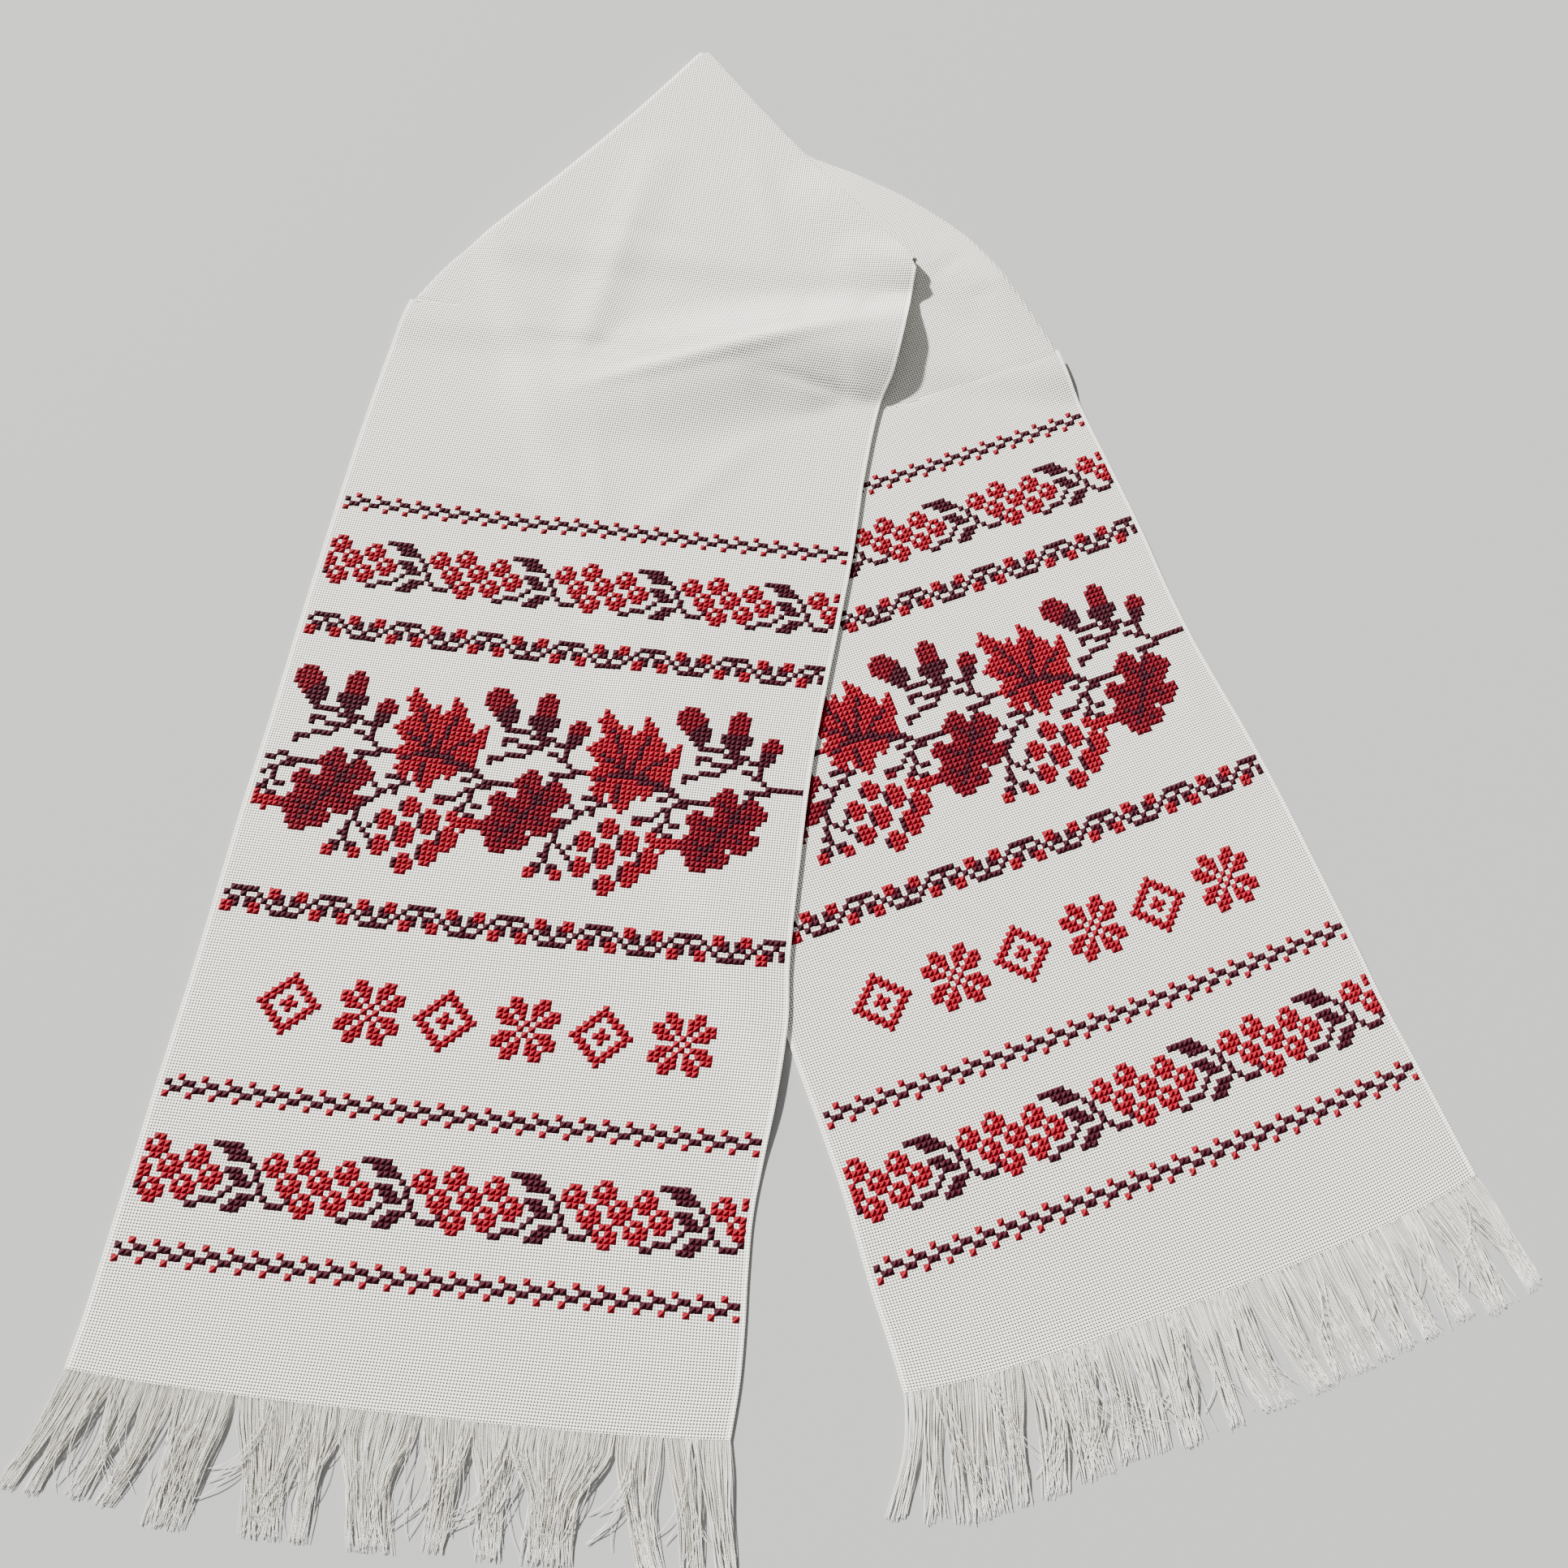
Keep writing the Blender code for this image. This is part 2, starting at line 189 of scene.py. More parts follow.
# Soft ridges of the right leg
right_leg_ridges = (
    (-0.0413, 0.3999, 0.0737, 0.3349, 0.0040, 0.0070, 0.060, 0.050, 0.0, 0.0),
    (0.0737, 0.3349, 0.1207, 0.2749, 0.0070, 0.0030, 0.045, 0.045, 0.0, 0.0),
)

# Creases kept from storage: start, end, depth (minus is a trough), half width
left_leg_creases = (
    # x1, y1, x2, y2, height, half width
    (-0.2350, 0.2000, -0.0100, 0.2850, 0.0030, 0.0085),
    (-0.0960, 0.2330, -0.0020, 0.2180, -0.0020, 0.0050),
    (-0.3400, 0.2510, -0.1750, 0.2420, -0.0013, 0.0070),
    (-0.1930, 0.4300, -0.2290, 0.2050, 0.0008, 0.0110),
    (-0.1780, 0.0700, -0.0700, 0.1950, 0.0012, 0.0160),
    (-0.2100, 0.1900, -0.1800, 0.0600, 0.0008, 0.0120),
    (-0.1450, 0.0700, -0.0850, -0.0600, 0.0007, 0.0110),
    (-0.3150, 0.1250, -0.2150, 0.1050, 0.0006, 0.0100),
    (-0.1250, 0.4600, -0.0850, 0.3300, 0.0009, 0.0150),
    (-0.2550, 0.3600, -0.1350, 0.3450, -0.0006, 0.0120),
)
right_leg_creases = (
    (0.024, 0.334, 0.056, 0.364, -0.0014, 0.0045),
    (0.054, 0.315, 0.084, 0.335, -0.0012, 0.0045),
    (0.030, 0.300, 0.075, 0.235, -0.0008, 0.0120),
    (0.200, 0.060, 0.235, -0.030, 0.0008, 0.0120),
)

# Hem and first stitch column of each leg, counted in stitches
hem_row = -165.7
selvage_column = -3.9

# Charts, one letter for a cross: R bright red, C crimson, D dark maroon
border_chart = (
    "R...",
    ".DD.",
    "D..D",
    "..R.",
)
berry_chart = (
    "DDDDD..........RR........",
    "..DDDD....RR..R.RR....RR.",
    "...DDDD..R.RR.RRRR...R.RR",
    ".......D.RRRR..RR.RR.RRRR",
    "RR.DDD..D.RR.RR..R.RR.RR.",
    ".RR.DDD.D...R.RR.RRRR...R",
    "RRR..DDD.D..RRRR..RR.RR.R",
    "RR..D....D...RR.RR..R.RR.",
    "...D..DDD.D...DR.RR.RRRR.",
    "DDD..DDD...DDD.RRRR..RR..",
    "....DDD.........RR.....DD",
)
wave_chart = (
    "..DDDDD..RR...RR",
    ".D..D..D.RRD.DRR",
    "D.DD.DD.D.DD.DD.",
    ".RRD.DRR.D..D..D",
    ".RR...RR..DDDDD.",
)
slanted_acorn = (
    ".CCC....",
    "CCCCC...",
    "CCCCCC..",
    "CCCCCD..",
    ".CCCDDD.",
    "..CDDDD.",
    "...DDDD.",
    "....DD..",
    ".....D..",
)
upright_acorn = (
    "...CC...",
    "..CCCC..",
    "..CCCC..",
    "..CCCC..",
    "..CCCC..",
    ".DDDDDD.",
    ".DDDDDD.",
    "..DDDD..",
    "...DD...",
)
closed_bud = (
    ".CC.",
    "CCCC",
    "CCCC",
    "DDD.",
    "DDD.",
    "DD..",
)
lobed_leaf = (
    "..R...............",
    "..RR......R.......",
    ".RRRR.....RR......",
    "..RRRR.R..RRR.....",
    "..RRDRRR.RRRR.....",
    "...RRDRRRRRDRR....",
    "..RRRDRRRRRDRRR..R",
    ".RRRRRDRRRDRRRR.RR",
    "RRRRRRDRRRDRRRRRRR",
    ".RRDRRRDRRDRRRRDRR",
    "..RRDDRDRDRRRDDRRR",
    "...RRRDDRDRRDRRRR.",
    "..RRRRRDDDRDRRRRR.",
    ".RRRRDDDDDDDDRRRR.",
    "..RDDRRRRRRDDDDDR.",
    "...RRRRDRRRRRRDDDD",
    "..RRRRRDRRRRRR....",
    "...RR.RDRRR.R.....",
    "....R.RDRR........",
    ".......RRR........",
    "........R.........",
)
oak_leaf = (
    ".......CC.......",
    "......CCCC..D...",
    ".....CCCCC.DCC..",
    ".....CCDCCCDCCC.",
    "......CCDCDCCCCC",
    "..CC..CCCDDCDCCC",
    ".CCCCCCCCDDDCCC.",
    ".CCCDCCCCDCCCC..",
    "..CCCDDCDCCCC...",
    "..CCCCCDDCDCCCC.",
    ".CCCCCCDCCCDCCC.",
    "CCCDCCDCCCCCCC..",
    "CCCCDDDCC.CCC...",
    ".CCCCDCCCC......",
    "..CCDCCDCC......",
    "..CCCCCCC.......",
    "...CCC..........",
)
blossom = (
    "RR.DD.",
    "RRRRRR",
    ".RRRRR",
    "...R..",
)
berry = (
    ".RR.",
    "DRRR",
    "DRRR",
    ".RR.",
)
long_berry = (
    ".RR.",
    "DRRR",
    "DRRR",
    "DRRR",
    ".RR.",
)
first_twig_end = (
    ".DD",
    "RRD",
    "RR.",
)
second_twig_end = (
    "DD.",
    "DRR",
    ".RR",
)
small_bud = (
    "DD",
    "CC",
)

# The wide band's motifs in its middle repeat: chart, left column, top row
acorn_motifs = (
    (slanted_acorn, 36, -39),
    (upright_acorn, 44, -39),
    (closed_bud, 53, -44),
    (oak_leaf, 40, -55),
    (blossom, 34, -65),
)
berry_motifs = (
    (lobed_leaf, 57, -41),
    (berry, 62, -63),
    (berry, 58, -66),
    (berry, 58, -71),
    (berry, 63, -74),
    (long_berry, 66, -65),
    (long_berry, 62, -68),
    (long_berry, 70, -68),
    (long_berry, 67, -71),
    (small_bud, 68, -62),
    (first_twig_end, 50, -73),
    (second_twig_end, 54, -73),
)

# The dark twigs of its middle repeat: row, first column, last column
acorn_twigs = (
    (-47, 42, 45),
    (-48, 46, 50),
    (-49, 41, 43),
    (-49, 48, 49),
    (-49, 51, 53),
    (-50, 41, 41),
    (-50, 44, 48),
    (-50, 53, 53),
    (-51, 46, 46),
    (-51, 50, 51),
    (-51, 53, 53),
    (-52, 42, 45),
    (-52, 52, 53),
    (-53, 39, 41),
    (-53, 54, 54),
    (-54, 39, 39),
    (-54, 55, 57),
    (-55, 51, 55),
    (-57, 37, 38),
    (-58, 35, 36),
    (-58, 39, 45),
    (-59, 38, 40),
    (-60, 36, 37),
    (-61, 35, 35),
    (-61, 37, 37),
    (-62, 33, 34),
    (-62, 37, 37),
    (-63, 36, 36),
    (-63, 38, 39),
    (-64, 35, 36),
    (-65, 37, 38),
)
berry_twigs = (
    (-59, 58, 60),
    (-60, 61, 62),
    (-59, 63, 66),
    (-60, 65, 65),
    (-61, 65, 65),
    (-61, 59, 60),
    (-61, 56, 56),
    (-62, 60, 60),
    (-62, 57, 58),
    (-63, 57, 57),
    (-64, 55, 56),
    (-65, 55, 55),
    (-66, 54, 54),
    (-67, 54, 54),
    (-68, 54, 54),
    (-69, 53, 53),
    (-70, 53, 53),
    (-69, 55, 55),
    (-69, 57, 57),
    (-70, 56, 56),
    (-71, 57, 57),
    (-71, 52, 53),
    (-72, 53, 53),
)
end_twig = (-54, 58, 61)
wide_repeat = 37

# Ornament of the plain band between the lower rows: rhombus and star in turn
rhombus_chart = (
    ".....R.....",
    "....RRR....",
    "...RR.RR...",
    "..RR...RR..",
    ".RR..R..RR.",
    "RR..RRR..RR",
    ".RR..R..RR.",
    "..RR...RR..",
    "...RR.RR...",
    "....RRR....",
    ".....R.....",
)
star_chart = (
    "..RR...RR..",
    "..RRR.RRR..",
    "RR.RR.RR.RR",
    "RRR.R.R.RRR",
    ".RRR.R.RRR.",
    "....R.R....",
    ".RRR.R.RRR.",
    "RRR.R.R.RRR",
    "RR.RR.RR.RR",
    "..RRR.RRR..",
    "..RR...RR..",
)
ornament_columns = (9, 23, 36, 50, 63, 77)

# Top row of each band
upper_border_row = 0
upper_berry_row = -10
upper_wave_row = -27.5
lower_wave_row = -83.5
ornament_row = -98
middle_border_row = -117.5
lower_berry_row = -127.5
lower_border_row = -144
first_column = -2
last_column = 98

# Locks of each fringe, in shares of the hem: root from, root to, tip, and then
# tip spread and length in metres
left_locks = (
    # from, to, tip, spread, length
    (0.000, 0.040, -0.040, 0.008, 0.0598),
    (0.040, 0.085, 0.000, 0.008, 0.0599),
    (0.085, 0.125, 0.068, 0.009, 0.0592),
    (0.125, 0.175, 0.108, 0.010, 0.0601),
    (0.175, 0.260, 0.202, 0.020, 0.0671),
    (0.260, 0.345, 0.338, 0.020, 0.0666),
    (0.345, 0.425, 0.395, 0.008, 0.0663),
    (0.425, 0.540, 0.497, 0.022, 0.0665),
    (0.540, 0.615, 0.590, 0.011, 0.0643),
    (0.615, 0.680, 0.671, 0.011, 0.0651),
    (0.680, 0.830, 0.755, 0.021, 0.0650),
    (0.830, 0.900, 0.909, 0.012, 0.0678),
    (0.900, 0.950, 0.967, 0.012, 0.0694),
    (0.950, 1.000, 1.020, 0.010, 0.0701),
)
right_locks = (
    (0.000, 0.030, -0.068, 0.010, 0.0560),
    (0.030, 0.060, -0.018, 0.013, 0.0618),
    (0.060, 0.120, 0.041, 0.019, 0.0668),
    (0.120, 0.150, 0.082, 0.009, 0.0662),
    (0.150, 0.185, 0.113, 0.008, 0.0659),
    (0.185, 0.240, 0.166, 0.016, 0.0664),
    (0.240, 0.300, 0.233, 0.020, 0.0651),
    (0.300, 0.350, 0.296, 0.017, 0.0631),
    (0.350, 0.385, 0.343, 0.010, 0.0638),
    (0.385, 0.450, 0.390, 0.012, 0.0665),
    (0.450, 0.495, 0.465, 0.009, 0.0667),
    (0.495, 0.530, 0.518, 0.006, 0.0650),
    (0.530, 0.560, 0.551, 0.008, 0.0654),
    (0.560, 0.620, 0.614, 0.013, 0.0651),
    (0.620, 0.650, 0.644, 0.008, 0.0634),
    (0.650, 0.695, 0.686, 0.012, 0.0643),
    (0.695, 0.735, 0.728, 0.009, 0.0633),
    (0.735, 0.775, 0.764, 0.011, 0.0633),
    (0.775, 0.825, 0.812, 0.010, 0.0631),
    (0.825, 0.880, 0.877, 0.011, 0.0622),
    (0.880, 0.940, 0.937, 0.016, 0.0665),
    (0.940, 1.000, 1.005, 0.012, 0.0653),
)

# Mesh steps
leg_columns = 72
hem_rows = 150
selvage_rows = 18
fold_rows = 48
roll_steps = 6


class ClothSizes(bpy.types.PropertyGroup):
    """Sizes of the woven strip."""

    width: bpy.props.FloatProperty(
        name="Width", description="Cloth width, selvage to selvage", default=0.358, unit="LENGTH"
    )
    thick: bpy.props.FloatProperty(
        name="Thickness", description="Thickness of the woven cloth", default=0.0008, unit="LENGTH"
    )
    layer_pitch: bpy.props.FloatProperty(
        name="Layer pitch", description="Height from one folded layer to the next", default=0.0025, unit="LENGTH"
    )
    length: bpy.props.FloatProperty(
        name="Length", description="Cloth length from hem to hem", default=2.05, unit="LENGTH"
    )
    rest_height: bpy.props.FloatProperty(
        name="Rest height", description="Height of the cloth's middle where it lies on the table",
        default=0.0006, unit="LENGTH"
    )


class StitchSizes(bpy.types.PropertyGroup):
    """Sizes of the cross stitches, in stitches unless they say metres."""

    stitch: bpy.props.FloatProperty(
        name="Stitch", description="Size of one cross stitch", default=0.0034615, unit="LENGTH", precision=6
    )
    arm_width: bpy.props.FloatProperty(
        name="Arm width", description="Width of one arm of a cross, in stitches", default=0.66
    )
    arm_height: bpy.props.FloatProperty(
        name="Arm height", description="Height of one arm of a cross, in stitches", default=0.11
    )


class FringeSizes(bpy.types.PropertyGroup):
    """Sizes of the hem threads."""

    threads: bpy.props.IntProperty(
        name="Threads", description="Loose threads at each hem", default=700, min=100, max=1500
    )
    thread_radius: bpy.props.FloatProperty(
        name="Thread radius", description="Radius of one loose thread", default=0.00021, unit="LENGTH", precision=5
    )
    tufts: bpy.props.IntProperty(
        name="Stray tufts", description="Small tufts that curl away from their lock", default=44, min=0, max=200
    )


class TowelColours(bpy.types.PropertyGroup):
    """Colours of cloth and threads."""

    cloth: bpy.props.FloatVectorProperty(
        name="Cloth", description="Bleached cloth", subtype="COLOR", default=(0.92, 0.91, 0.83), min=0, max=1
    )
    # The weave gap colour is painted shade: the dark seen through the weave's holes.
    gap: bpy.props.FloatVectorProperty(
        name="Weave gap", description="Between the threads of the weave", subtype="COLOR",
        default=(0.075, 0.07, 0.06), min=0, max=1
    )
    red: bpy.props.FloatVectorProperty(
        name="Red", description="Bright red floss", subtype="COLOR", default=(0.26, 0.0, 0.011), min=0, max=1
    )
    crimson: bpy.props.FloatVectorProperty(
        name="Crimson", description="Deep red floss", subtype="COLOR", default=(0.135, 0.0, 0.008), min=0, max=1
    )
    maroon: bpy.props.FloatVectorProperty(
        name="Maroon", description="Dark floss", subtype="COLOR", default=(0.042, 0.002, 0.009), min=0, max=1
    )
    fringe: bpy.props.FloatVectorProperty(
        name="Fringe", description="Loose warp threads", subtype="COLOR", default=(0.97, 0.94, 0.86), min=0, max=1
    )
    floor: bpy.props.FloatVectorProperty(
        name="Floor", description="Pale studio floor", subtype="COLOR", default=(0.34, 0.34, 0.34), min=0, max=1
    )


def table_curve(table, at, column):
    """Values of one table column, on a smooth curve through the table's rows."""
    marks = np.array([row[0] for row in table])
    values = np.array([row[column] for row in table])
    slopes = np.empty(len(marks))
    slopes[1:-1] = (values[2:] - values[:-2]) / (marks[2:] - marks[:-2])
    slopes[0] = (values[1] - values[0]) / (marks[1] - marks[0])
    slopes[-1] = (values[-1] - values[-2]) / (marks[-1] - marks[-2])
    at = np.clip(at, marks[0], marks[-1])
    row = np.clip(np.searchsorted(marks, at, side="left") - 1, 0, len(marks) - 2)
    width = marks[row + 1] - marks[row]
    part = (at - marks[row]) / width
    step = values[row + 1] - values[row]
    rise_low = slopes[row] * width
    rise_high = slopes[row + 1] * width
    curve = (3.0 * step - 2.0 * rise_low - rise_high) * part ** 2
    curve += (rise_low + rise_high - 2.0 * step) * part ** 3
    return values[row] + rise_low * part + curve


class Leg:
    """One leg of the towel: turns cloth distances into places on the table and back."""

    def __init__(self, corner, turn, edges, slant_column, bow, width):
        self.corner = corner
        self.turn = turn
        self.edges = edges
        self.slant_column = slant_column
        self.bow = bow
        self.width = width

    def row_shift(self, share, along):
        """How far a row is shifted at a share of its width."""
        side = 2 * share - 1
        shift = table_curve(hem_sag, along, 2 * self.slant_column - 1)
        turn_up = table_curve(hem_sag, along, 2 * self.slant_column)
        return self.bow * side ** 2 + shift + turn_up * side ** 4

    def place(self, across, along):
        """Ground place of cloth distances across from the left selvage and along from the hem."""
        across, along = np.broadcast_arrays(np.asarray(across, float), np.asarray(along, float))
        share = across / self.width
        left = table_curve(self.edges, along, 1)
        right = table_curve(self.edges, along, 2)
        sideways = across + left + (right - left) * share
        slant = table_curve(row_slant, along, self.slant_column)
        rise = along + slant * (across - self.width / 2) + self.row_shift(share, along)
        x = self.corner[0] + math.cos(self.turn) * sideways - math.sin(self.turn) * rise
        y = self.corner[1] + math.sin(self.turn) * sideways + math.cos(self.turn) * rise
        return np.stack([x, y], axis=-1)

    def distances(self, place):
        """Cloth distances across and along of a ground place."""
        dx = place[..., 0] - self.corner[0]
        dy = place[..., 1] - self.corner[1]
        sideways = math.cos(self.turn) * dx + math.sin(self.turn) * dy
        rise = -math.sin(self.turn) * dx + math.cos(self.turn) * dy
        across, along = sideways.copy(), rise.copy()
        for _ in range(6):
            left = table_curve(self.edges, along, 1)
            right = table_curve(self.edges, along, 2)
            across = (sideways - left) / (1.0 + (right - left) / self.width)
            slant = table_curve(row_slant, along, self.slant_column)
            share = across / self.width
            along = rise - slant * (across - self.width / 2) - self.row_shift(share, along)
        return across, along


def along_line(points, count):
    """Evenly spaced points on a polyline, both ends included."""
    points = np.asarray(points, dtype=float)
    steps = np.hypot(*np.diff(points, axis=0).T)
    reach = np.concatenate([[0.0], np.cumsum(steps)])
    marks = np.linspace(0.0, reach[-1], count)
    return np.stack([np.interp(marks, reach, points[:, 0]), np.interp(marks, reach, points[:, 1])], axis=-1)


def rounded_line(points, count):
    """A Catmull Rom curve through the points, evenly spaced."""
    pts = [np.array(p, dtype=float) for p in points]
    pts = [2 * pts[0] - pts[1]] + pts + [2 * pts[-1] - pts[-2]]
    fine = []
    for i in range(1, len(pts) - 2):
        a, b, c, d = pts[i - 1], pts[i], pts[i + 1], pts[i + 2]
        for step in range(16):
            t = step / 16
            fine.append(0.5 * (2 * b + (c - a) * t + (2 * a - 5 * b + 4 * c - d) * t * t
                               + (3 * b - a - 3 * c + d) * t ** 3))
    fine.append(pts[-2])
    return along_line(fine, count)


def outline_distance(outline, places):
    """Distance of places to an area on the ground, 0 inside it."""
    x, y = places[..., 0], places[..., 1]
    inside = np.zeros(x.shape, bool)
    nearest = np.full(x.shape, 1e9)
    for (x1, y1), (x2, y2) in zip(outline, np.roll(outline, -1, axis=0)):
        dx, dy = x2 - x1, y2 - y1
        if dy != 0:
            crossed = ((y1 > y) != (y2 > y)) & (x < x1 + (y - y1) / dy * dx)
            inside ^= crossed
        size = dx * dx + dy * dy
        if size == 0:
            continue
        part = np.clip(((x - x1) * dx + (y - y1) * dy) / size, 0, 1)
        nearest = np.minimum(nearest, np.hypot(x - x1 - dx * part, y - y1 - dy * part))
    return np.where(inside, 0.0, nearest)


def step_over(outline, places, margin=0.014, ramp=0.030):
    """1 over an area and close round it, easing to 0 past it."""
    part = np.clip((outline_distance(outline, places) - margin) / ramp, 0, 1)
    return 1.0 - part * part * (3.0 - 2.0 * part)


def ridge_height(ridges, places):
    """Height that the soft ridges of a leg add."""
    tallest = np.zeros(places.shape[:-1])
    for x1, y1, x2, y2, height1, height2, far, near, foot1, foot2 in ridges:
        dx, dy = x2 - x1, y2 - y1
        size = math.hypot(dx, dy)
        rx, ry = places[..., 0] - x1, places[..., 1] - y1
        part = (rx * dx + ry * dy) / size
        side = (ry * dx - rx * dy) / size
        over = np.maximum(0.0, np.maximum(-part, part - size))
        share = np.clip(part / size, 0, 1)
        width = np.where(side > 0, far, near)
        reach = np.clip(np.hypot(side / width, over / far), 0, 1)
        crest = height1 + (height2 - height1) * share
        soft = (1 + np.cos(math.pi * reach)) / 2
        firm = 1 - reach ** 2.4
        foot = foot1 + (foot2 - foot1) * share
        mixed = np.where(side > 0, soft, soft + (firm - soft) * foot)
        tallest = np.maximum(tallest, crest * mixed)
    return tallest


def crease_height(creases, places):
    """Height of the storage creases of a leg."""
    total = np.zeros(places.shape[:-1])
    for x1, y1, x2, y2, height, width in creases:
        dx, dy = x2 - x1, y2 - y1
        size = dx * dx + dy * dy
        rx, ry = places[..., 0] - x1, places[..., 1] - y1
        raw = (rx * dx + ry * dy) / size
        part = np.clip(raw, 0, 1)
        gap = np.hypot(rx - dx * part, ry - dy * part)
        fade = np.clip(1.6 - 3.2 * np.abs(raw - 0.5), 0, 1)
        total += height * fade * np.exp(-(gap / width) ** 2 * 2.2)
    return total


class Layers:
    """Heights of the four layers of the laid towel."""

    def __init__(self, sizes):
        self.width = sizes.width
        self.pitch = sizes.layer_pitch
        self.rest = sizes.rest_height
        self.thick = sizes.thick
        self.left_leg = Leg(left_leg_corner, left_leg_turn, left_leg_edges, 1, left_leg_bow, self.width)
        self.right_leg = Leg(right_leg_corner, right_leg_turn, right_leg_edges, 2, right_leg_bow, self.width)
        long_count = fold_rows + selvage_rows + 1
        self.left_line = rounded_line(left_fold, long_count)
        self.flap_line = rounded_line(flap_fold, fold_rows + 1)
        self.hidden_line = rounded_line(hidden_fold, fold_rows + 1)
        self.shoulder_line = rounded_line(shoulder_fold, long_count)
        self.under_area = np.concatenate([self.left_line[::3], self.shoulder_line[::-3]])
        self.flap_area = np.concatenate([self.hidden_line[::4], self.flap_line[::-4]])
        marks = np.linspace(0, right_leg_left_reach, 9)
        left_side = self.right_leg.place(0.0, marks[::-1])
        hem_side = self.right_leg.place(np.linspace(0, self.width, 3), 0.0)
        right_side = self.right_leg.place(self.width, marks)
        self.right_area = np.concatenate(
            [self.hidden_line[::4], left_side, hem_side, right_side, self.shoulder_line[::-3]]
        )

    def under(self, places):
        return np.full(places.shape[:-1], self.rest)

    def right(self, places):
        lift = self.pitch * step_over(self.under_area, places)
        height = self.rest + lift + ridge_height(right_leg_ridges, places)
        return np.maximum(height + crease_height(right_leg_creases, places), self.rest)

    def flap(self, places):
        return self.right(places) + self.pitch

    def left(self, places):
        stack = step_over(self.right_area, places) + step_over(self.flap_area, places)
        below = self.right(places)
        height = below + self.pitch * stack + ridge_height(left_leg_ridges, places)
        height = height + crease_height(left_leg_creases, places)
        return np.maximum(height, below + np.minimum(self.pitch * stack, self.pitch * 0.8))


def row_between(left, right, count):
    """Rows of evenly spaced places from each left place to its right one."""
    share = np.linspace(0, 1, count + 1)[None, :, None]
    return left[:, None, :] * (1 - share) + right[:, None, :] * share


def fold_edges(line, gaps, middle, smallest=0.0016, share=0.62):
    """Places where a fold's roll starts, the way it bulges, and by how much."""
    before = np.concatenate([line[:1], line[:-1]])
    after = np.concatenate([line[1:], line[-1:]])
    way = after - before
    way /= np.hypot(way[:, 0], way[:, 1])[:, None]
    normal = np.stack([-way[:, 1], way[:, 0]], axis=-1)
    inward = np.array(middle) - line
    flip = np.sum(normal * inward, axis=-1) < 0
    normal[flip] *= -1
    amount = np.maximum(smallest, share * gaps)
    return line + normal * amount[:, None], -normal, amount


class SheetMesh:
    """Collects the points, faces and cloth coordinates of the whole strip."""

    def __init__(self, stitch):
        self.points = []
        self.faces = []
        self.coordinates = []
        self.count = 0
        self.stitch = stitch

    def add_points(self, places, heights):
        """Adds points and gives their numbers in the same layout."""
        flat = np.concatenate([places.reshape(-1, 2), heights.reshape(-1, 1)], axis=1)
        self.points.append(flat)
        numbers = np.arange(self.count, self.count + len(flat)).reshape(heights.shape)
        self.count += len(flat)
        return numbers

    def add_faces(self, numbers, across, along):
        """Adds the quads of a grid of point numbers, with its cloth distances."""
        u = across / self.stitch + selvage_column
        v = along / self.stitch + hem_row
        coordinates = np.stack([u, v], axis=-1)
        for source, store in ((numbers, self.faces), (coordinates, self.coordinates)):
            quads = np.stack([source[:-1, :-1], source[1:, :-1], source[1:, 1:], source[:-1, 1:]], axis=2)
            store.append(quads.reshape(-1, *quads.shape[2:]))

    def finish(self, name):
        """The mesh object of everything that was added."""
        faces = np.concatenate(self.faces)
        data = bpy.data.meshes.new(name)
        data.from_pydata(np.concatenate(self.points).tolist(), [], faces.tolist())
        layer = data.uv_layers.new(name="weave")
        layer.data.foreach_set("uv", np.concatenate(self.coordinates).astype(np.float32).ravel())
        made = bpy.data.objects.new(name, data)
        bpy.context.collection.objects.link(made)
        return made


def pick(piece):
    """Makes a piece the only selected and active one."""
    bpy.ops.object.select_all(action="DESELECT")
    piece.select_set(True)
    bpy.context.view_layer.objects.active = piece


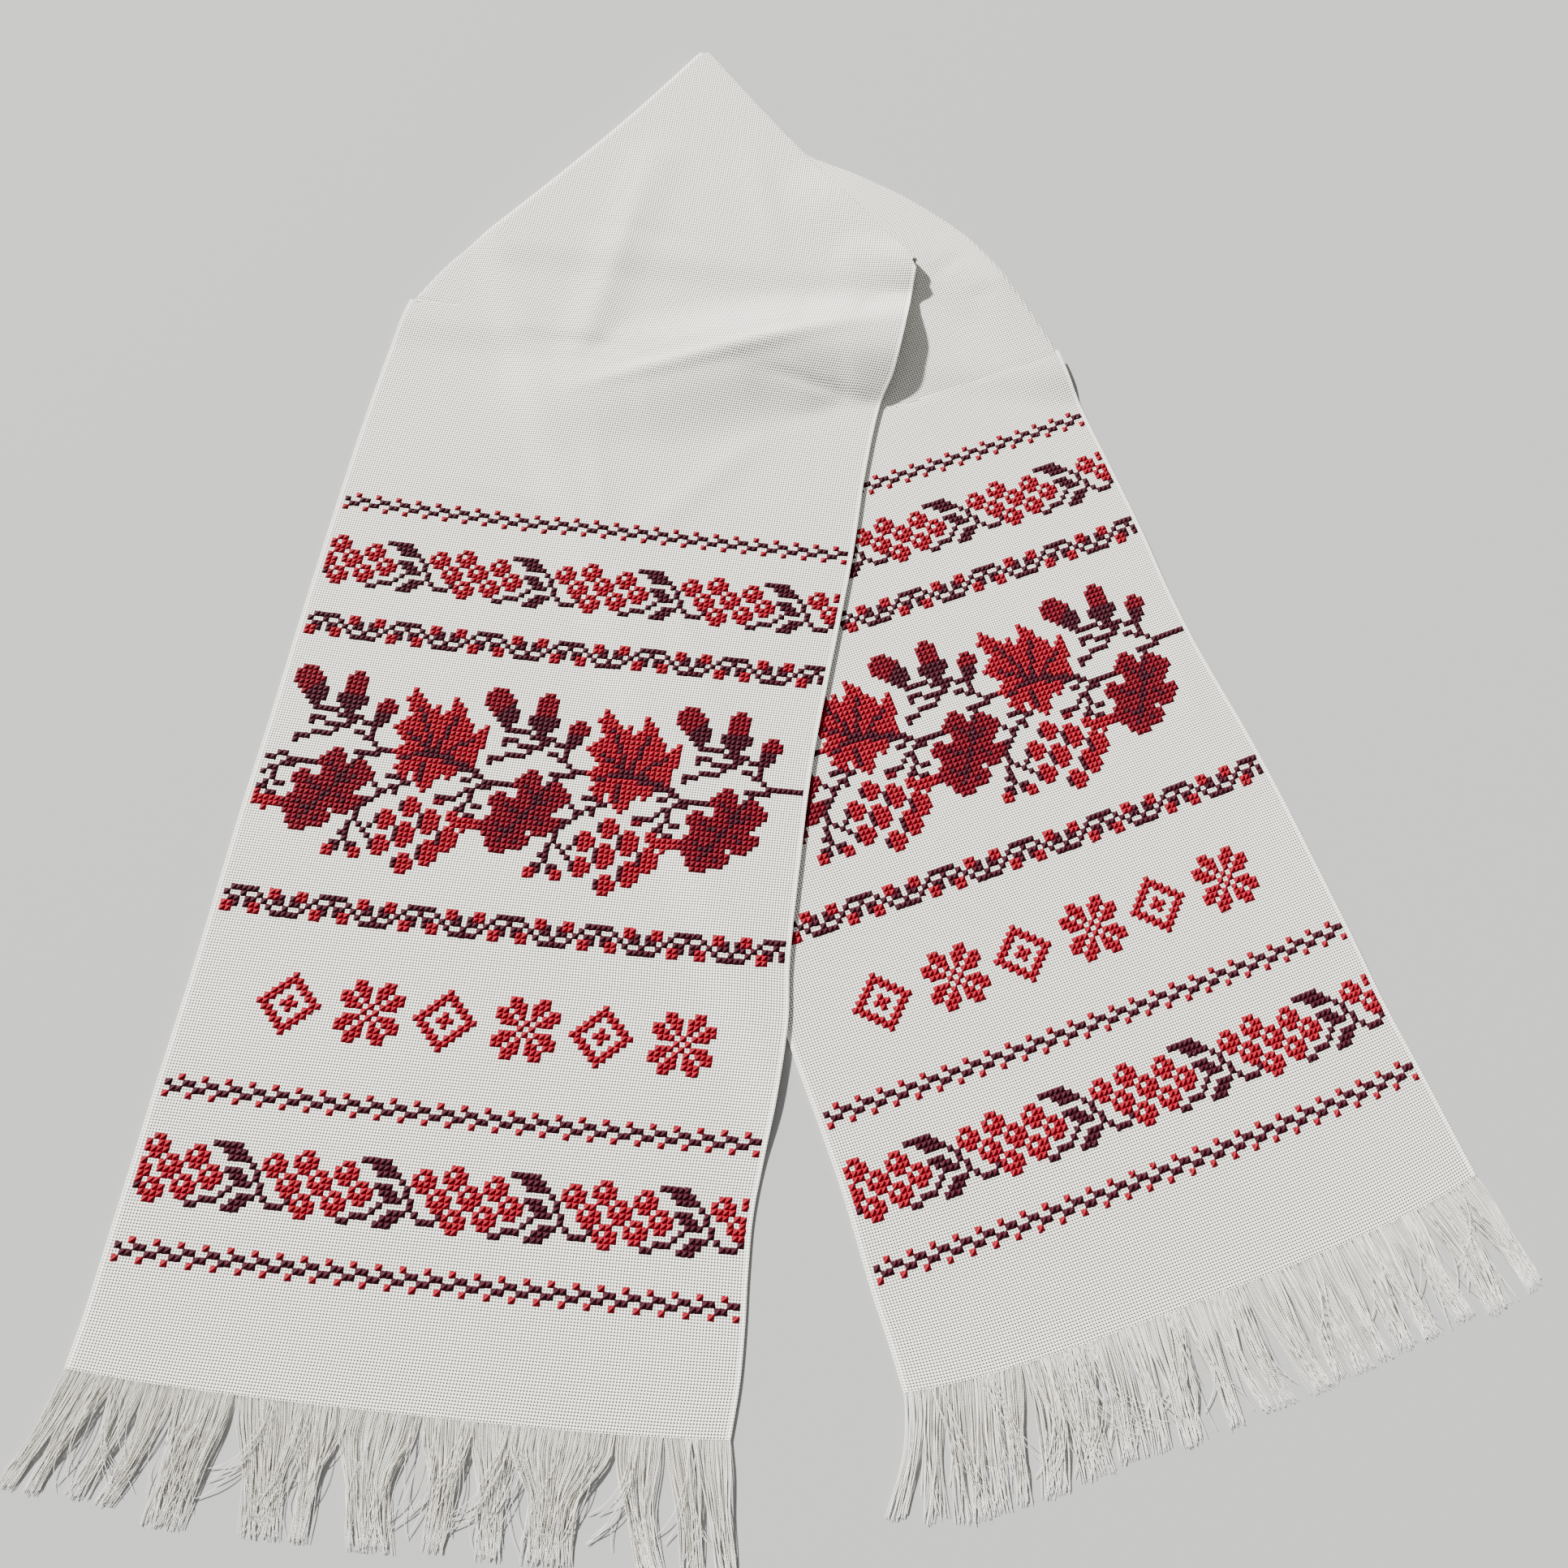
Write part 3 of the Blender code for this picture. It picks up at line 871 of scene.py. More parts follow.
def build_sheet(layers, stitch):
    """The whole strip as one fine sheet with its four folds."""
    sheet = SheetMesh(stitch)
    left_line, flap_line = layers.left_line, layers.flap_line
    hidden_line, shoulder_line = layers.hidden_line, layers.shoulder_line
    left_places, left_way, left_bulge = fold_edges(
        left_line, layers.left(left_line) - layers.under(left_line), stack_middle)
    flap_places, flap_way, flap_bulge = fold_edges(
        flap_line, layers.left(flap_line) - layers.flap(flap_line), stack_middle)
    hidden_places, hidden_way, hidden_bulge = fold_edges(
        hidden_line, layers.flap(hidden_line) - layers.right(hidden_line), stack_middle)
    shoulder_places, shoulder_way, shoulder_bulge = fold_edges(
        shoulder_line, layers.right(shoulder_line) - layers.under(shoulder_line), stack_middle)

    reach = np.linspace(left_leg_right_reach, left_leg_left_reach, selvage_rows + 1)[1:]
    right_edge = np.concatenate([flap_places, layers.left_leg.place(layers.width, reach)])
    left_top = row_between(left_places, right_edge, leg_columns)
    part = np.arange(1, hem_rows + 1) / hem_rows
    spacing = (1.0 - part) * (1.0 + 0.20 * part)
    across = np.linspace(0, layers.width, leg_columns + 1)
    left_grid = np.concatenate(
        [left_top, layers.left_leg.place(across[None, :], left_leg_left_reach * spacing[:, None])])

    inner_end = layers.right_leg.place(0.0, right_leg_left_reach)
    tail = row_between(hidden_line[-1:], inner_end[None, :], selvage_rows)[0, 1:]
    inner_edge = np.concatenate([hidden_places, tail])
    right_top = row_between(inner_edge, shoulder_places, leg_columns)
    part = np.arange(1, hem_rows - 23) / (hem_rows - 24)
    spacing = (1.0 - part) * (1.0 + 0.20 * part)
    right_grid = np.concatenate(
        [right_top, layers.right_leg.place(across[None, :], right_leg_left_reach * spacing[:, None])])

    under_grid = row_between(left_places, shoulder_places, leg_columns)
    flap_grid = row_between(hidden_places, flap_places, leg_columns)

    left_numbers = sheet.add_points(left_grid, layers.left(left_grid))
    right_numbers = sheet.add_points(right_grid, layers.right(right_grid))
    under_numbers = sheet.add_points(under_grid, layers.under(under_grid))
    flap_numbers = sheet.add_points(flap_grid, layers.flap(flap_grid))

    sheet.add_faces(left_numbers, *layers.left_leg.distances(left_grid))
    sheet.add_faces(right_numbers[:, ::-1], *layers.right_leg.distances(right_grid[:, ::-1]))
    sheet.add_faces(under_numbers, *layers.left_leg.distances(under_grid))
    sheet.add_faces(flap_numbers, *layers.left_leg.distances(flap_grid))

    points = np.concatenate(sheet.points)

    def add_roll(tops, bottoms, ways, bulge, leg):
        """Half round of cloth from one layer's edge to the next one's."""
        columns = [tops]
        developed = [points[tops][:, :2]]
        for step in range(1, roll_steps):
            angle = math.pi * step / roll_steps
            high, low = points[tops], points[bottoms]
            place = high[:, :2] + ways * (bulge * math.sin(angle))[:, None]
            height = (high[:, 2] + low[:, 2]) / 2 + (high[:, 2] - low[:, 2]) / 2 * math.cos(angle)
            columns.append(sheet.add_points(place, height))
            developed.append(points[tops][:, :2] + ways * (bulge * 1.9 * step / roll_steps)[:, None])
        columns.append(bottoms)
        developed.append(points[tops][:, :2] + ways * (bulge * 1.9)[:, None])
        sheet.add_faces(np.stack(columns), *leg.distances(np.stack(developed)))

    last = fold_rows + 1
    long = fold_rows + selvage_rows + 1
    add_roll(left_numbers[:long, 0], under_numbers[:, 0], left_way, left_bulge, layers.left_leg)
    add_roll(left_numbers[:last, -1], flap_numbers[:, -1], flap_way, flap_bulge, layers.left_leg)
    add_roll(flap_numbers[:, 0], right_numbers[:last, 0], hidden_way, hidden_bulge, layers.right_leg)
    add_roll(right_numbers[:long, -1], under_numbers[:, -1], shoulder_way, shoulder_bulge, layers.right_leg)

    cloth = sheet.finish("cloth_sheet")
    pick(cloth)
    bpy.ops.object.mode_set(mode="EDIT")
    bpy.ops.mesh.select_all(action="SELECT")
    bpy.ops.mesh.normals_make_consistent(inside=False)
    bpy.ops.object.mode_set(mode="OBJECT")
    solidify = cloth.modifiers.new("thickness", "SOLIDIFY")
    solidify.thickness = layers.thick
    solidify.offset = 0.0
    bpy.ops.object.modifier_apply(modifier="thickness")
    bpy.ops.object.shade_smooth()
    cloth.data.set_sharp_from_angle(angle=math.radians(50))
    return cloth


def plain_material(name, colour, roughness):
    """Material with a Principled shader, ready for its pattern."""
    material = bpy.data.materials.new(name)
    material.use_nodes = True
    shader = material.node_tree.nodes["Principled BSDF"]
    shader.inputs["Base Color"].default_value = (*colour, 1.0)
    shader.inputs["Roughness"].default_value = roughness
    shader.inputs["Metallic"].default_value = 0.0
    return material, material.node_tree, shader


def maths(tree, operation, first, second=None, third=None):
    """Output of one Math node."""
    node = tree.nodes.new("ShaderNodeMath")
    node.operation = operation
    for socket, value in zip(node.inputs, (first, second, third)):
        if value is None:
            continue
        if isinstance(value, (int, float)):
            socket.default_value = value
        else:
            tree.links.new(value, socket)
    return node.outputs[0]


def mixed_colour(tree, factor, first, second):
    """Colour output between two colours or sockets."""
    node = tree.nodes.new("ShaderNodeMix")
    node.data_type = "RGBA"
    for socket, value in ((node.inputs[0], factor), (node.inputs[6], first), (node.inputs[7], second)):
        if isinstance(value, (int, float)):
            socket.default_value = value
        elif isinstance(value, bpy.types.NodeSocket):
            tree.links.new(value, socket)
        else:
            socket.default_value = (*value, 1.0)
    return node.outputs[2]


def smooth_range(tree, value, low, high):
    """0 below low, 1 above high, eased between."""
    node = tree.nodes.new("ShaderNodeMapRange")
    node.interpolation_type = "SMOOTHSTEP"
    tree.links.new(value, node.inputs[0])
    node.inputs[1].default_value = low
    node.inputs[2].default_value = high
    return node.outputs[0]


def noise(tree, vector, scale, detail=3.0):
    """Noise value at a scale."""
    node = tree.nodes.new("ShaderNodeTexNoise")
    tree.links.new(vector, node.inputs["Vector"])
    node.inputs["Scale"].default_value = scale
    node.inputs["Detail"].default_value = detail
    return node.outputs["Fac"]


def bumped(tree, shader, height, distance, strength=1.0):
    """Drives the shader's normal from a height in metres."""
    node = tree.nodes.new("ShaderNodeBump")
    node.inputs["Strength"].default_value = strength
    node.inputs["Distance"].default_value = distance
    tree.links.new(height, node.inputs["Height"])
    tree.links.new(node.outputs["Normal"], shader.inputs["Normal"])


def woven_material(colours):
    """Even weave: two cells to a stitch, a gap at each crossing filled with painted shade, painted shade in the
    grooves between threads, a dense selvage.
    """
    material, tree, shader = plain_material("even weave", colours.cloth, 0.78)
    uv = tree.nodes.new("ShaderNodeUVMap")
    uv.uv_map = "weave"
    parts = tree.nodes.new("ShaderNodeSeparateXYZ")
    tree.links.new(uv.outputs["UV"], parts.inputs["Vector"])
    u, v = parts.outputs["X"], parts.outputs["Y"]
    coordinates = tree.nodes.new("ShaderNodeTexCoord")
    place = coordinates.outputs["Object"]
    wobble = noise(tree, place, 40.0, 2.0)
    shift = maths(tree, "MULTIPLY", maths(tree, "SUBTRACT", wobble, 0.5), 0.16)
    warp = maths(tree, "ABSOLUTE", maths(tree, "SINE", maths(tree, "MULTIPLY", maths(tree, "ADD", u, shift), 2 * math.pi)))
    weft = maths(tree, "ABSOLUTE", maths(tree, "SINE", maths(tree, "MULTIPLY", maths(tree, "ADD", v, shift), 2 * math.pi)))
    warp2 = maths(tree, "MULTIPLY", warp, warp)
    weft2 = maths(tree, "MULTIPLY", weft, weft)
    crossing = maths(tree, "ADD", warp2, weft2)
    left_band = smooth_range(tree, u, selvage_column + 0.95, selvage_column + 0.75)
    right_edge = -selvage_column + 0.358 / 0.0034615 + 2 * selvage_column
    right_band = smooth_range(tree, u, right_edge - 0.95, right_edge - 0.75)
    selvage = maths(tree, "MAXIMUM", left_band, right_band)
    # Painted shade: the weave's holes take the gap colour, standing for the dark seen through them; the dense selvage
    # has none.
    painted_hole_shade = smooth_range(tree, crossing, 1.12, 0.28)
    painted_hole_shade = maths(tree, "MULTIPLY", painted_hole_shade, maths(tree, "SUBTRACT", 1.0, selvage))
    tone = noise(tree, place, 9.0, 4.0)
    worn = mixed_colour(tree, tone, tuple(c * 0.95 for c in colours.cloth), tuple(min(1.0, c * 1.05) for c in colours.cloth))
    # Painted shade: the grooves between warp and weft threads are darkened towards 0.6 of the cloth colour.
    groove_shade_mask = smooth_range(tree, maths(tree, "MINIMUM", warp, weft), 0.0, 0.55)
    thread = mixed_colour(tree, maths(tree, "MULTIPLY_ADD", groove_shade_mask, 0.30, 0.70), tuple(c * 0.60 for c in colours.cloth), worn)
    tree.links.new(mixed_colour(tree, painted_hole_shade, thread, colours.gap), shader.inputs["Base Color"])
    relief = maths(tree, "MULTIPLY", maths(tree, "MINIMUM", crossing, 1.0), 0.6)
    relief = maths(tree, "ADD", relief, maths(tree, "MULTIPLY", maths(tree, "MULTIPLY", warp, weft), 0.4))
    fuzz = noise(tree, place, 900.0, 2.0)
    relief = maths(tree, "ADD", relief, maths(tree, "MULTIPLY", fuzz, 0.25))
    bumped(tree, shader, relief, 0.00045)
    shader.inputs["Sheen Weight"].default_value = 0.25
    shader.inputs["Sheen Roughness"].default_value = 0.5
    return material


def floss_material(name, colour, roughness=0.58):
    """Glossy stranded floss: fine strands run along each arm of a cross, with painted shade in the grooves between
    strands.
    """
    material, tree, shader = plain_material(name, colour, roughness)
    uv = tree.nodes.new("ShaderNodeUVMap")
    uv.uv_map = "strand"
    parts = tree.nodes.new("ShaderNodeSeparateXYZ")
    tree.links.new(uv.outputs["UV"], parts.inputs["Vector"])
    strand = maths(tree, "ABSOLUTE", maths(tree, "SINE", maths(tree, "MULTIPLY", parts.outputs["Y"], 3 * math.pi)))
    coordinates = tree.nodes.new("ShaderNodeTexCoord")
    tone = noise(tree, coordinates.outputs["Object"], 260.0, 2.0)
    dark = tuple(c * 0.62 for c in colour)
    light = tuple(min(1.0, c * 1.30) for c in colour)
    base = mixed_colour(tree, tone, dark, light)
    # Painted shade: the grooves between strands are darkened towards half the floss colour.
    shade = mixed_colour(tree, maths(tree, "MULTIPLY_ADD", strand, 0.5, 0.5), tuple(c * 0.5 for c in colour), base)
    tree.links.new(shade, shader.inputs["Base Color"])
    bumped(tree, shader, strand, 0.00012)
    shader.inputs["Specular IOR Level"].default_value = 0.10
    return material


def thread_material(colours):
    """Loose warp thread, slightly glossy, each with a tone of its own that is partly painted shade, painted shade in
    its twist and painted light towards its tip.
    """
    material, tree, shader = plain_material("loose thread", colours.fringe, 0.32)
    uv = tree.nodes.new("ShaderNodeUVMap")
    uv.uv_map = "thread"
    parts = tree.nodes.new("ShaderNodeSeparateXYZ")
    tree.links.new(uv.outputs["UV"], parts.inputs["Vector"])
    # The dark tone is a brownish thread tone; threads drawn near it are partly their own random tone and partly
    # painted shade between threads.
    dark = (colours.fringe[0] * 0.40, colours.fringe[1] * 0.36, colours.fringe[2] * 0.31)
    light = tuple(min(1.0, c * 1.06) for c in colours.fringe)
    # Painted light: each thread is lightened over its last fifth towards the tip.
    tip = maths(tree, "MULTIPLY", smooth_range(tree, parts.outputs["Y"], 0.80, 1.0), 0.5)
    own = mixed_colour(tree, maths(tree, "ADD", parts.outputs["X"], tip), dark, light)
    turns = maths(tree, "MULTIPLY_ADD", parts.outputs["Y"], 300.0, maths(tree, "MULTIPLY", parts.outputs["X"], 90.0))
    twist = maths(tree, "MULTIPLY_ADD", maths(tree, "SINE", turns), 0.5, 0.5)
    # Painted shade: the twist's grooves are darkened towards the dark tone.
    shade = maths(tree, "MULTIPLY", twist, 0.34)
    tree.links.new(mixed_colour(tree, shade, own, dark), shader.inputs["Base Color"])
    bumped(tree, shader, twist, 0.00010)
    shader.inputs["Subsurface Weight"].default_value = 0.5
    shader.inputs["Subsurface Radius"].default_value = (1.0, 0.9, 0.75)
    shader.inputs["Subsurface Scale"].default_value = 0.0006
    shader.inputs["Sheen Weight"].default_value = 0.2
    return material


def repeat_chart(chart, phase, top):
    """Crosses (column, row, colour) of a chart repeated across the cloth."""
    crosses = []
    for step, row in enumerate(chart):
        for column in range(first_column, last_column + 1):
            letter = row[(column - phase) % len(row)]
            if letter != ".":
                crosses.append((column, top - step, letter))
    return crosses


def place_chart(found, chart, left, top):
    """Adds the crosses of one motif, cut at the band's ends."""
    for step, row in enumerate(chart):
        for index, letter in enumerate(row):
            column = left + index
            if letter != "." and first_column <= column <= last_column:
                found[(column, top - step)] = letter


def place_twig(found, row, first, last):
    """Adds the dark crosses of one stretch of twig."""
    for column in range(max(first, first_column), min(last, last_column) + 1):
        found[(column, row)] = "D"


def wide_band():
    """Crosses of the wide band of leaves, acorns and berries."""
    found = {}
    for shift in (-wide_repeat, 0, wide_repeat):
        with_berries = shift < wide_repeat
        twigs = acorn_twigs + (berry_twigs if with_berries else (end_twig,))
        motifs = acorn_motifs + (berry_motifs if with_berries else ())
        for row, first, last in twigs:
            place_twig(found, row, first + shift, last + shift)
        for chart, left, top in motifs:
            place_chart(found, chart, left + shift, top)
    return [(column, row, letter) for (column, row), letter in found.items()]


def leg_crosses():
    """Every cross of one leg, in its upper and lower half."""
    upper = repeat_chart(border_chart, 0, upper_border_row)
    upper += repeat_chart(berry_chart, 59, upper_berry_row)
    upper += repeat_chart(wave_chart, 61, upper_wave_row)
    upper += wide_band()
    lower = repeat_chart(wave_chart, 61, lower_wave_row)
    found = {}
    for index, left in enumerate(ornament_columns):
        place_chart(found, (rhombus_chart, star_chart)[index % 2], left, ornament_row)
    lower += [(column, row, letter) for (column, row), letter in found.items()]
    lower += repeat_chart(border_chart, 0, middle_border_row)
    lower += repeat_chart(berry_chart, 59, lower_berry_row)
    lower += repeat_chart(border_chart, 0, lower_border_row)
    return upper, lower


def model_arm(sizes):
    """One arm of a cross, modelled along X in stitches: a fat strand pinched at its ends."""
    length = 1.44
    bpy.ops.object.select_all(action="DESELECT")
    bpy.ops.mesh.primitive_circle_add(vertices=4, radius=0.5, fill_type="NGON", location=(-length / 2, 0, 0),
                                      rotation=(0, math.pi / 2, 0))
    arm = bpy.context.object
    bpy.ops.object.transform_apply(location=True, rotation=True, scale=True)
    bpy.ops.object.mode_set(mode="EDIT")
    bpy.ops.mesh.select_all(action="SELECT")
    for reach in (0.42, 0.60, 0.42):
        bpy.ops.mesh.extrude_region_move(TRANSFORM_OT_translate={"value": (reach, 0, 0)})
    bpy.ops.mesh.select_all(action="SELECT")
    bpy.ops.mesh.normals_make_consistent(inside=False)
    bpy.ops.object.mode_set(mode="OBJECT")
    for vert in arm.data.vertices:
        ends = abs(vert.co.x) / (length / 2)
        slim = 1.0 - 0.42 * ends ** 2.5
        rise = sizes.arm_height * (1.0 - ends ** 2) * 0.9
        vert.co.y *= sizes.arm_width * slim * 1.05
        vert.co.z = vert.co.z * sizes.arm_height * 1.5 * slim + rise
    points = np.array([vert.co[:] for vert in arm.data.vertices])
    faces = [tuple(face.vertices) for face in arm.data.polygons]
    bpy.data.objects.remove(arm, do_unlink=True)
    return points, faces


def stitch_piece(name, crosses, leg, height_of, layers, sizes, materials, seed):
    """All crosses of one group as one joined mesh that follows the cloth."""
    arm_points, arm_faces = model_arm(sizes)
    draw = np.random.default_rng(seed)
    centres = np.array([(c[0], c[1]) for c in crosses], dtype=float)
    letters = np.array(["RCD".index(c[2]) for c in crosses])
    count = len(crosses)
    all_points, all_faces, all_strands, all_letters = [], [], [], []
    made = 0
    for layer, angle in enumerate((math.radians(135), math.radians(45))):
        turn = angle + draw.normal(0, 0.045, count)
        grow = draw.normal(1.0, 0.05, count)
        wide = draw.normal(1.0, 0.07, count)
        x = arm_points[None, :, 0] * np.clip(grow, 0.9, 1.08)[:, None]
        y = arm_points[None, :, 1] * np.clip(wide, 0.85, 1.15)[:, None]
        cos, sin = np.cos(turn)[:, None], np.sin(turn)[:, None]
        shift = draw.normal(0, 0.03, (count, 2))
        u = centres[:, 0:1] + shift[:, 0:1] + x * cos - y * sin
        v = centres[:, 1:2] + shift[:, 1:2] + x * sin + y * cos
        middle = np.clip(1 - np.abs(arm_points[:, 0]) / 0.60, 0, 1)
        lift = arm_points[:, 2] + (layer * 0.14 * middle)
        place = leg.place((u - selvage_column) * sizes.stitch, (v - hem_row) * sizes.stitch)
        height = height_of(place) + layers.thick / 2 + lift[None, :] * sizes.stitch
        all_points.append(np.concatenate([place.reshape(-1, 2), height.reshape(-1, 1)], axis=1))
        size = len(arm_points)
        for index in range(count):
            base = made + index * size
            all_faces.extend(tuple(base + p for p in face) for face in arm_faces)
        strand = np.stack([arm_points[:, 0], arm_points[:, 1] / sizes.arm_width + 0.5], axis=-1)
        corner = np.concatenate([strand[list(face)] for face in arm_faces])
        all_strands.append(np.tile(corner, (count, 1)))
        all_letters.append(np.repeat(letters, len(arm_faces)))
        made += count * size
    data = bpy.data.meshes.new(name)
    data.from_pydata(np.concatenate(all_points).tolist(), [], all_faces)
    layer = data.uv_layers.new(name="strand")
    layer.data.foreach_set("uv", np.concatenate(all_strands).astype(np.float32).ravel())
    for material in materials:
        data.materials.append(material)
    data.polygons.foreach_set("material_index", np.concatenate(all_letters).astype(np.int32))
    data.polygons.foreach_set("use_smooth", np.ones(len(data.polygons), bool))
    data.update()
    piece = bpy.data.objects.new(name, data)
    bpy.context.collection.objects.link(piece)
    return piece


def tube_ring(spot, ahead, radius):
    """Three corners round a thread at one point of its path."""
    dx, dy = ahead[0], ahead[1]
    size = math.hypot(dx, dy) or 1.0
    sx, sy = -dy / size * radius, dx / size * radius
    low = spot[2] - radius * 0.6
    return [(spot[0] + sx, spot[1] + sy, low), (spot[0] - sx, spot[1] - sy, low), (spot[0], spot[1], spot[2] + radius)]


class ThreadMesh:
    """Collects thin tubes with a tone for each thread."""

    def __init__(self):
        self.points = []
        self.faces = []
        self.corners = []

    def add(self, path, radius, tone):
        """Adds one thread along a path of (x, y, z) points."""
        base = len(self.points)
        last = len(path) - 1
        for index, spot in enumerate(path):
            after, before = path[min(index + 1, last)], path[max(index - 1, 0)]
            way = (after[0] - before[0], after[1] - before[1])
            self.points += tube_ring(spot, way, radius * (1.0 if index < last else 0.6))
        for index in range(last):
            ring = base + index * 3
            reach = index / last
            after = (index + 1) / last
            for k in range(3):
                n = (k + 1) % 3
                self.faces.append((ring + k, ring + n, ring + 3 + n, ring + 3 + k))
                self.corners += [(tone, reach), (tone, reach), (tone, after), (tone, after)]

    def finish(self, name):
        """The mesh object of every thread."""
        data = bpy.data.meshes.new(name)
        data.from_pydata(self.points, [], self.faces)
        layer = data.uv_layers.new(name="thread")
        layer.data.foreach_set("uv", np.array(self.corners, dtype=np.float32).ravel())
        data.polygons.foreach_set("use_smooth", np.ones(len(data.polygons), bool))
        data.update()
        piece = bpy.data.objects.new(name, data)
        bpy.context.collection.objects.link(piece)
        return piece


def hem_frame(leg, layers, share):
    """Root of a thread on the hem, the way along the hem and the way out."""
    root = leg.place(share * layers.width, 0.0008)
    along = leg.place(layers.width, 0.0008) - leg.place(0.0, 0.0008)
    along = along / np.hypot(*along)
    return root, along, np.array([along[1], -along[0]])


def fringe_piece(name, leg, layers, locks, sizes, seed):
    """Loose threads of one hem: dense at the hem, then gathered in uneven locks."""
    draw = random.Random(seed)
    steps = 12
    threads = ThreadMesh()
    piles = [draw.uniform(0.0012, 0.0026) for _ in locks]
    bows = [draw.uniform(-0.0035, 0.0035) for _ in locks]
    for index in range(sizes.threads):
        share = (index + draw.uniform(0.05, 0.95)) / sizes.threads
        lock = next(k for k, row in enumerate(locks) if share <= row[1] + 1e-9)
        start, stop, tip, spread, reach = locks[lock]
        root, along, outward = hem_frame(leg, layers, share)
        middle = (start + stop) / 2
        wide = (stop - start) * layers.width
        inside = (share - middle) / (stop - start)
        crossing = draw.random() < 0.28
        tip_inside = draw.uniform(-0.5, 0.5) if crossing else inside + draw.gauss(0, 0.10)
        waist = min(wide, spread * 1.25) * draw.uniform(0.75, 1.0)
        length = reach * draw.uniform(0.965, 1.02)
        if draw.random() < 0.10:
            length *= draw.uniform(0.80, 0.95)
        sway, wave, phase = draw.gauss(0, 0.0009), draw.uniform(4.0, 8.0), draw.uniform(0, 6.3)
        top = draw.random()
        radius = sizes.thread_radius * draw.uniform(0.8, 1.25)
        path = []
        for step in range(steps + 1):
            part = step / steps
            lean = (tip - middle) * layers.width * part ** 1.15
            narrow = min(1.0, max(0.0, (part - 0.14) / 0.46))
            narrow = narrow * narrow * (3 - 2 * narrow)
            flare = max(0.0, (part - 0.50) / 0.50) ** 1.3
            spot_width = wide + (waist - wide) * narrow
            place = inside * spot_width * (1 - flare) + tip_inside * spread * flare
            side = lean + place - inside * wide
            side += bows[lock] * math.sin(math.pi * part) + sway * part * math.sin(part * wave + phase)
            spot = root + outward * (part * length) + along * side
            heap = piles[lock] * top * (math.sin(math.pi * min(1.0, part * 1.1)) * 0.85 + 0.15 * part)
            rest = 0.0005 * (1 - part) * (0.4 + top)
            path.append((spot[0], spot[1], radius + 0.0001 + rest + heap))
        # Tone of each thread, mostly light; its darker end is partly painted shade between threads.
        threads.add(path, radius, draw.betavariate(1.7, 0.6))

    for _ in range(sizes.tufts):
        share = draw.uniform(0.04, 0.96)
        heading = draw.uniform(-0.45, 0.25)
        bend = draw.choice((-1, 1)) * draw.uniform(0.5, 1.9)
        for _ in range(draw.choice((1, 1, 2, 5))):
            root, along, outward = hem_frame(leg, layers, min(0.99, max(0.01, share + draw.gauss(0, 0.006))))
            length = draw.uniform(0.046, 0.066)
            own_heading = heading + draw.gauss(0, 0.06)
            own_bend = bend + draw.gauss(0, 0.22)
            lift = draw.uniform(0.0012, 0.0034)
            spot = root.copy()
            path = []
            for step in range(17):
                part = step / 16
                angle = own_heading * min(1.0, part * 2.5) + own_bend * max(0.0, part - 0.3) ** 1.6
                path.append((spot[0], spot[1], 0.0007 + lift * math.sin(math.pi * min(1.0, part * 1.1))))
                spot = spot + (outward * math.cos(angle) + along * math.sin(angle)) * (length / 16)
            threads.add(path, sizes.thread_radius * 0.9, draw.uniform(0.6, 1.0))
    return threads.finish(name)


class TOWEL_OT_cloth(bpy.types.Operator):
    """Weave the folded strip of cloth"""

    bl_idname = "towel.cloth"
    bl_label = "Cloth"

    def execute(self, context):
        scene = context.scene
        layers = Layers(scene.towel_cloth)
        cloth = build_sheet(layers, scene.towel_stitches.stitch)
        cloth.data.materials.clear()
        cloth.data.materials.append(woven_material(scene.towel_colours))
        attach(cloth, "root")
        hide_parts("cloth")
        return {"FINISHED"}


class TOWEL_OT_stitches(bpy.types.Operator):
    """Work the cross stitch bands of both legs"""

    bl_idname = "towel.stitches"
    bl_label = "Cross stitch"

    def execute(self, context):
        scene = context.scene
        layers = Layers(scene.towel_cloth)
        colours = scene.towel_colours
        materials = [
            floss_material("red floss", tuple(colours.red)),
            floss_material("crimson floss", tuple(colours.crimson)),
            floss_material("maroon floss", tuple(colours.maroon)),
        ]
        plan = (
            ("left", layers.left_leg, layers.left, 5),
            ("right", layers.right_leg, layers.right, 9),
        )
        for side, leg, height_of, seed in plan:
            for half, crosses in zip(("upper", "lower"), leg_crosses()):
                piece = stitch_piece(
                    f"stitches_{side}_{half}", crosses, leg, height_of, layers,
                    scene.towel_stitches, materials, seed
                )
                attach(piece, "root")
        return {"FINISHED"}


class TOWEL_OT_fringe(bpy.types.Operator):
    """Draw the loose threads at both hems"""

    bl_idname = "towel.fringe"
    bl_label = "Fringe"

    def execute(self, context):
        scene = context.scene
        layers = Layers(scene.towel_cloth)
        material = thread_material(scene.towel_colours)
        plan = (
            ("fringe_left", layers.left_leg, left_locks, 3),
            ("fringe_right", layers.right_leg, right_locks, 7),
        )
        on_cloth = [item for item in bpy.data.objects if item.name.startswith("stitches_")]
        for node, leg, locks, seed in plan:
            piece = fringe_piece(node + "_threads", leg, layers, locks, scene.towel_fringe, seed)
            piece.data.materials.append(material)
            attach(piece, "root")
            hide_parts(node)
            on_cloth.append(piece)
        return {"FINISHED"}


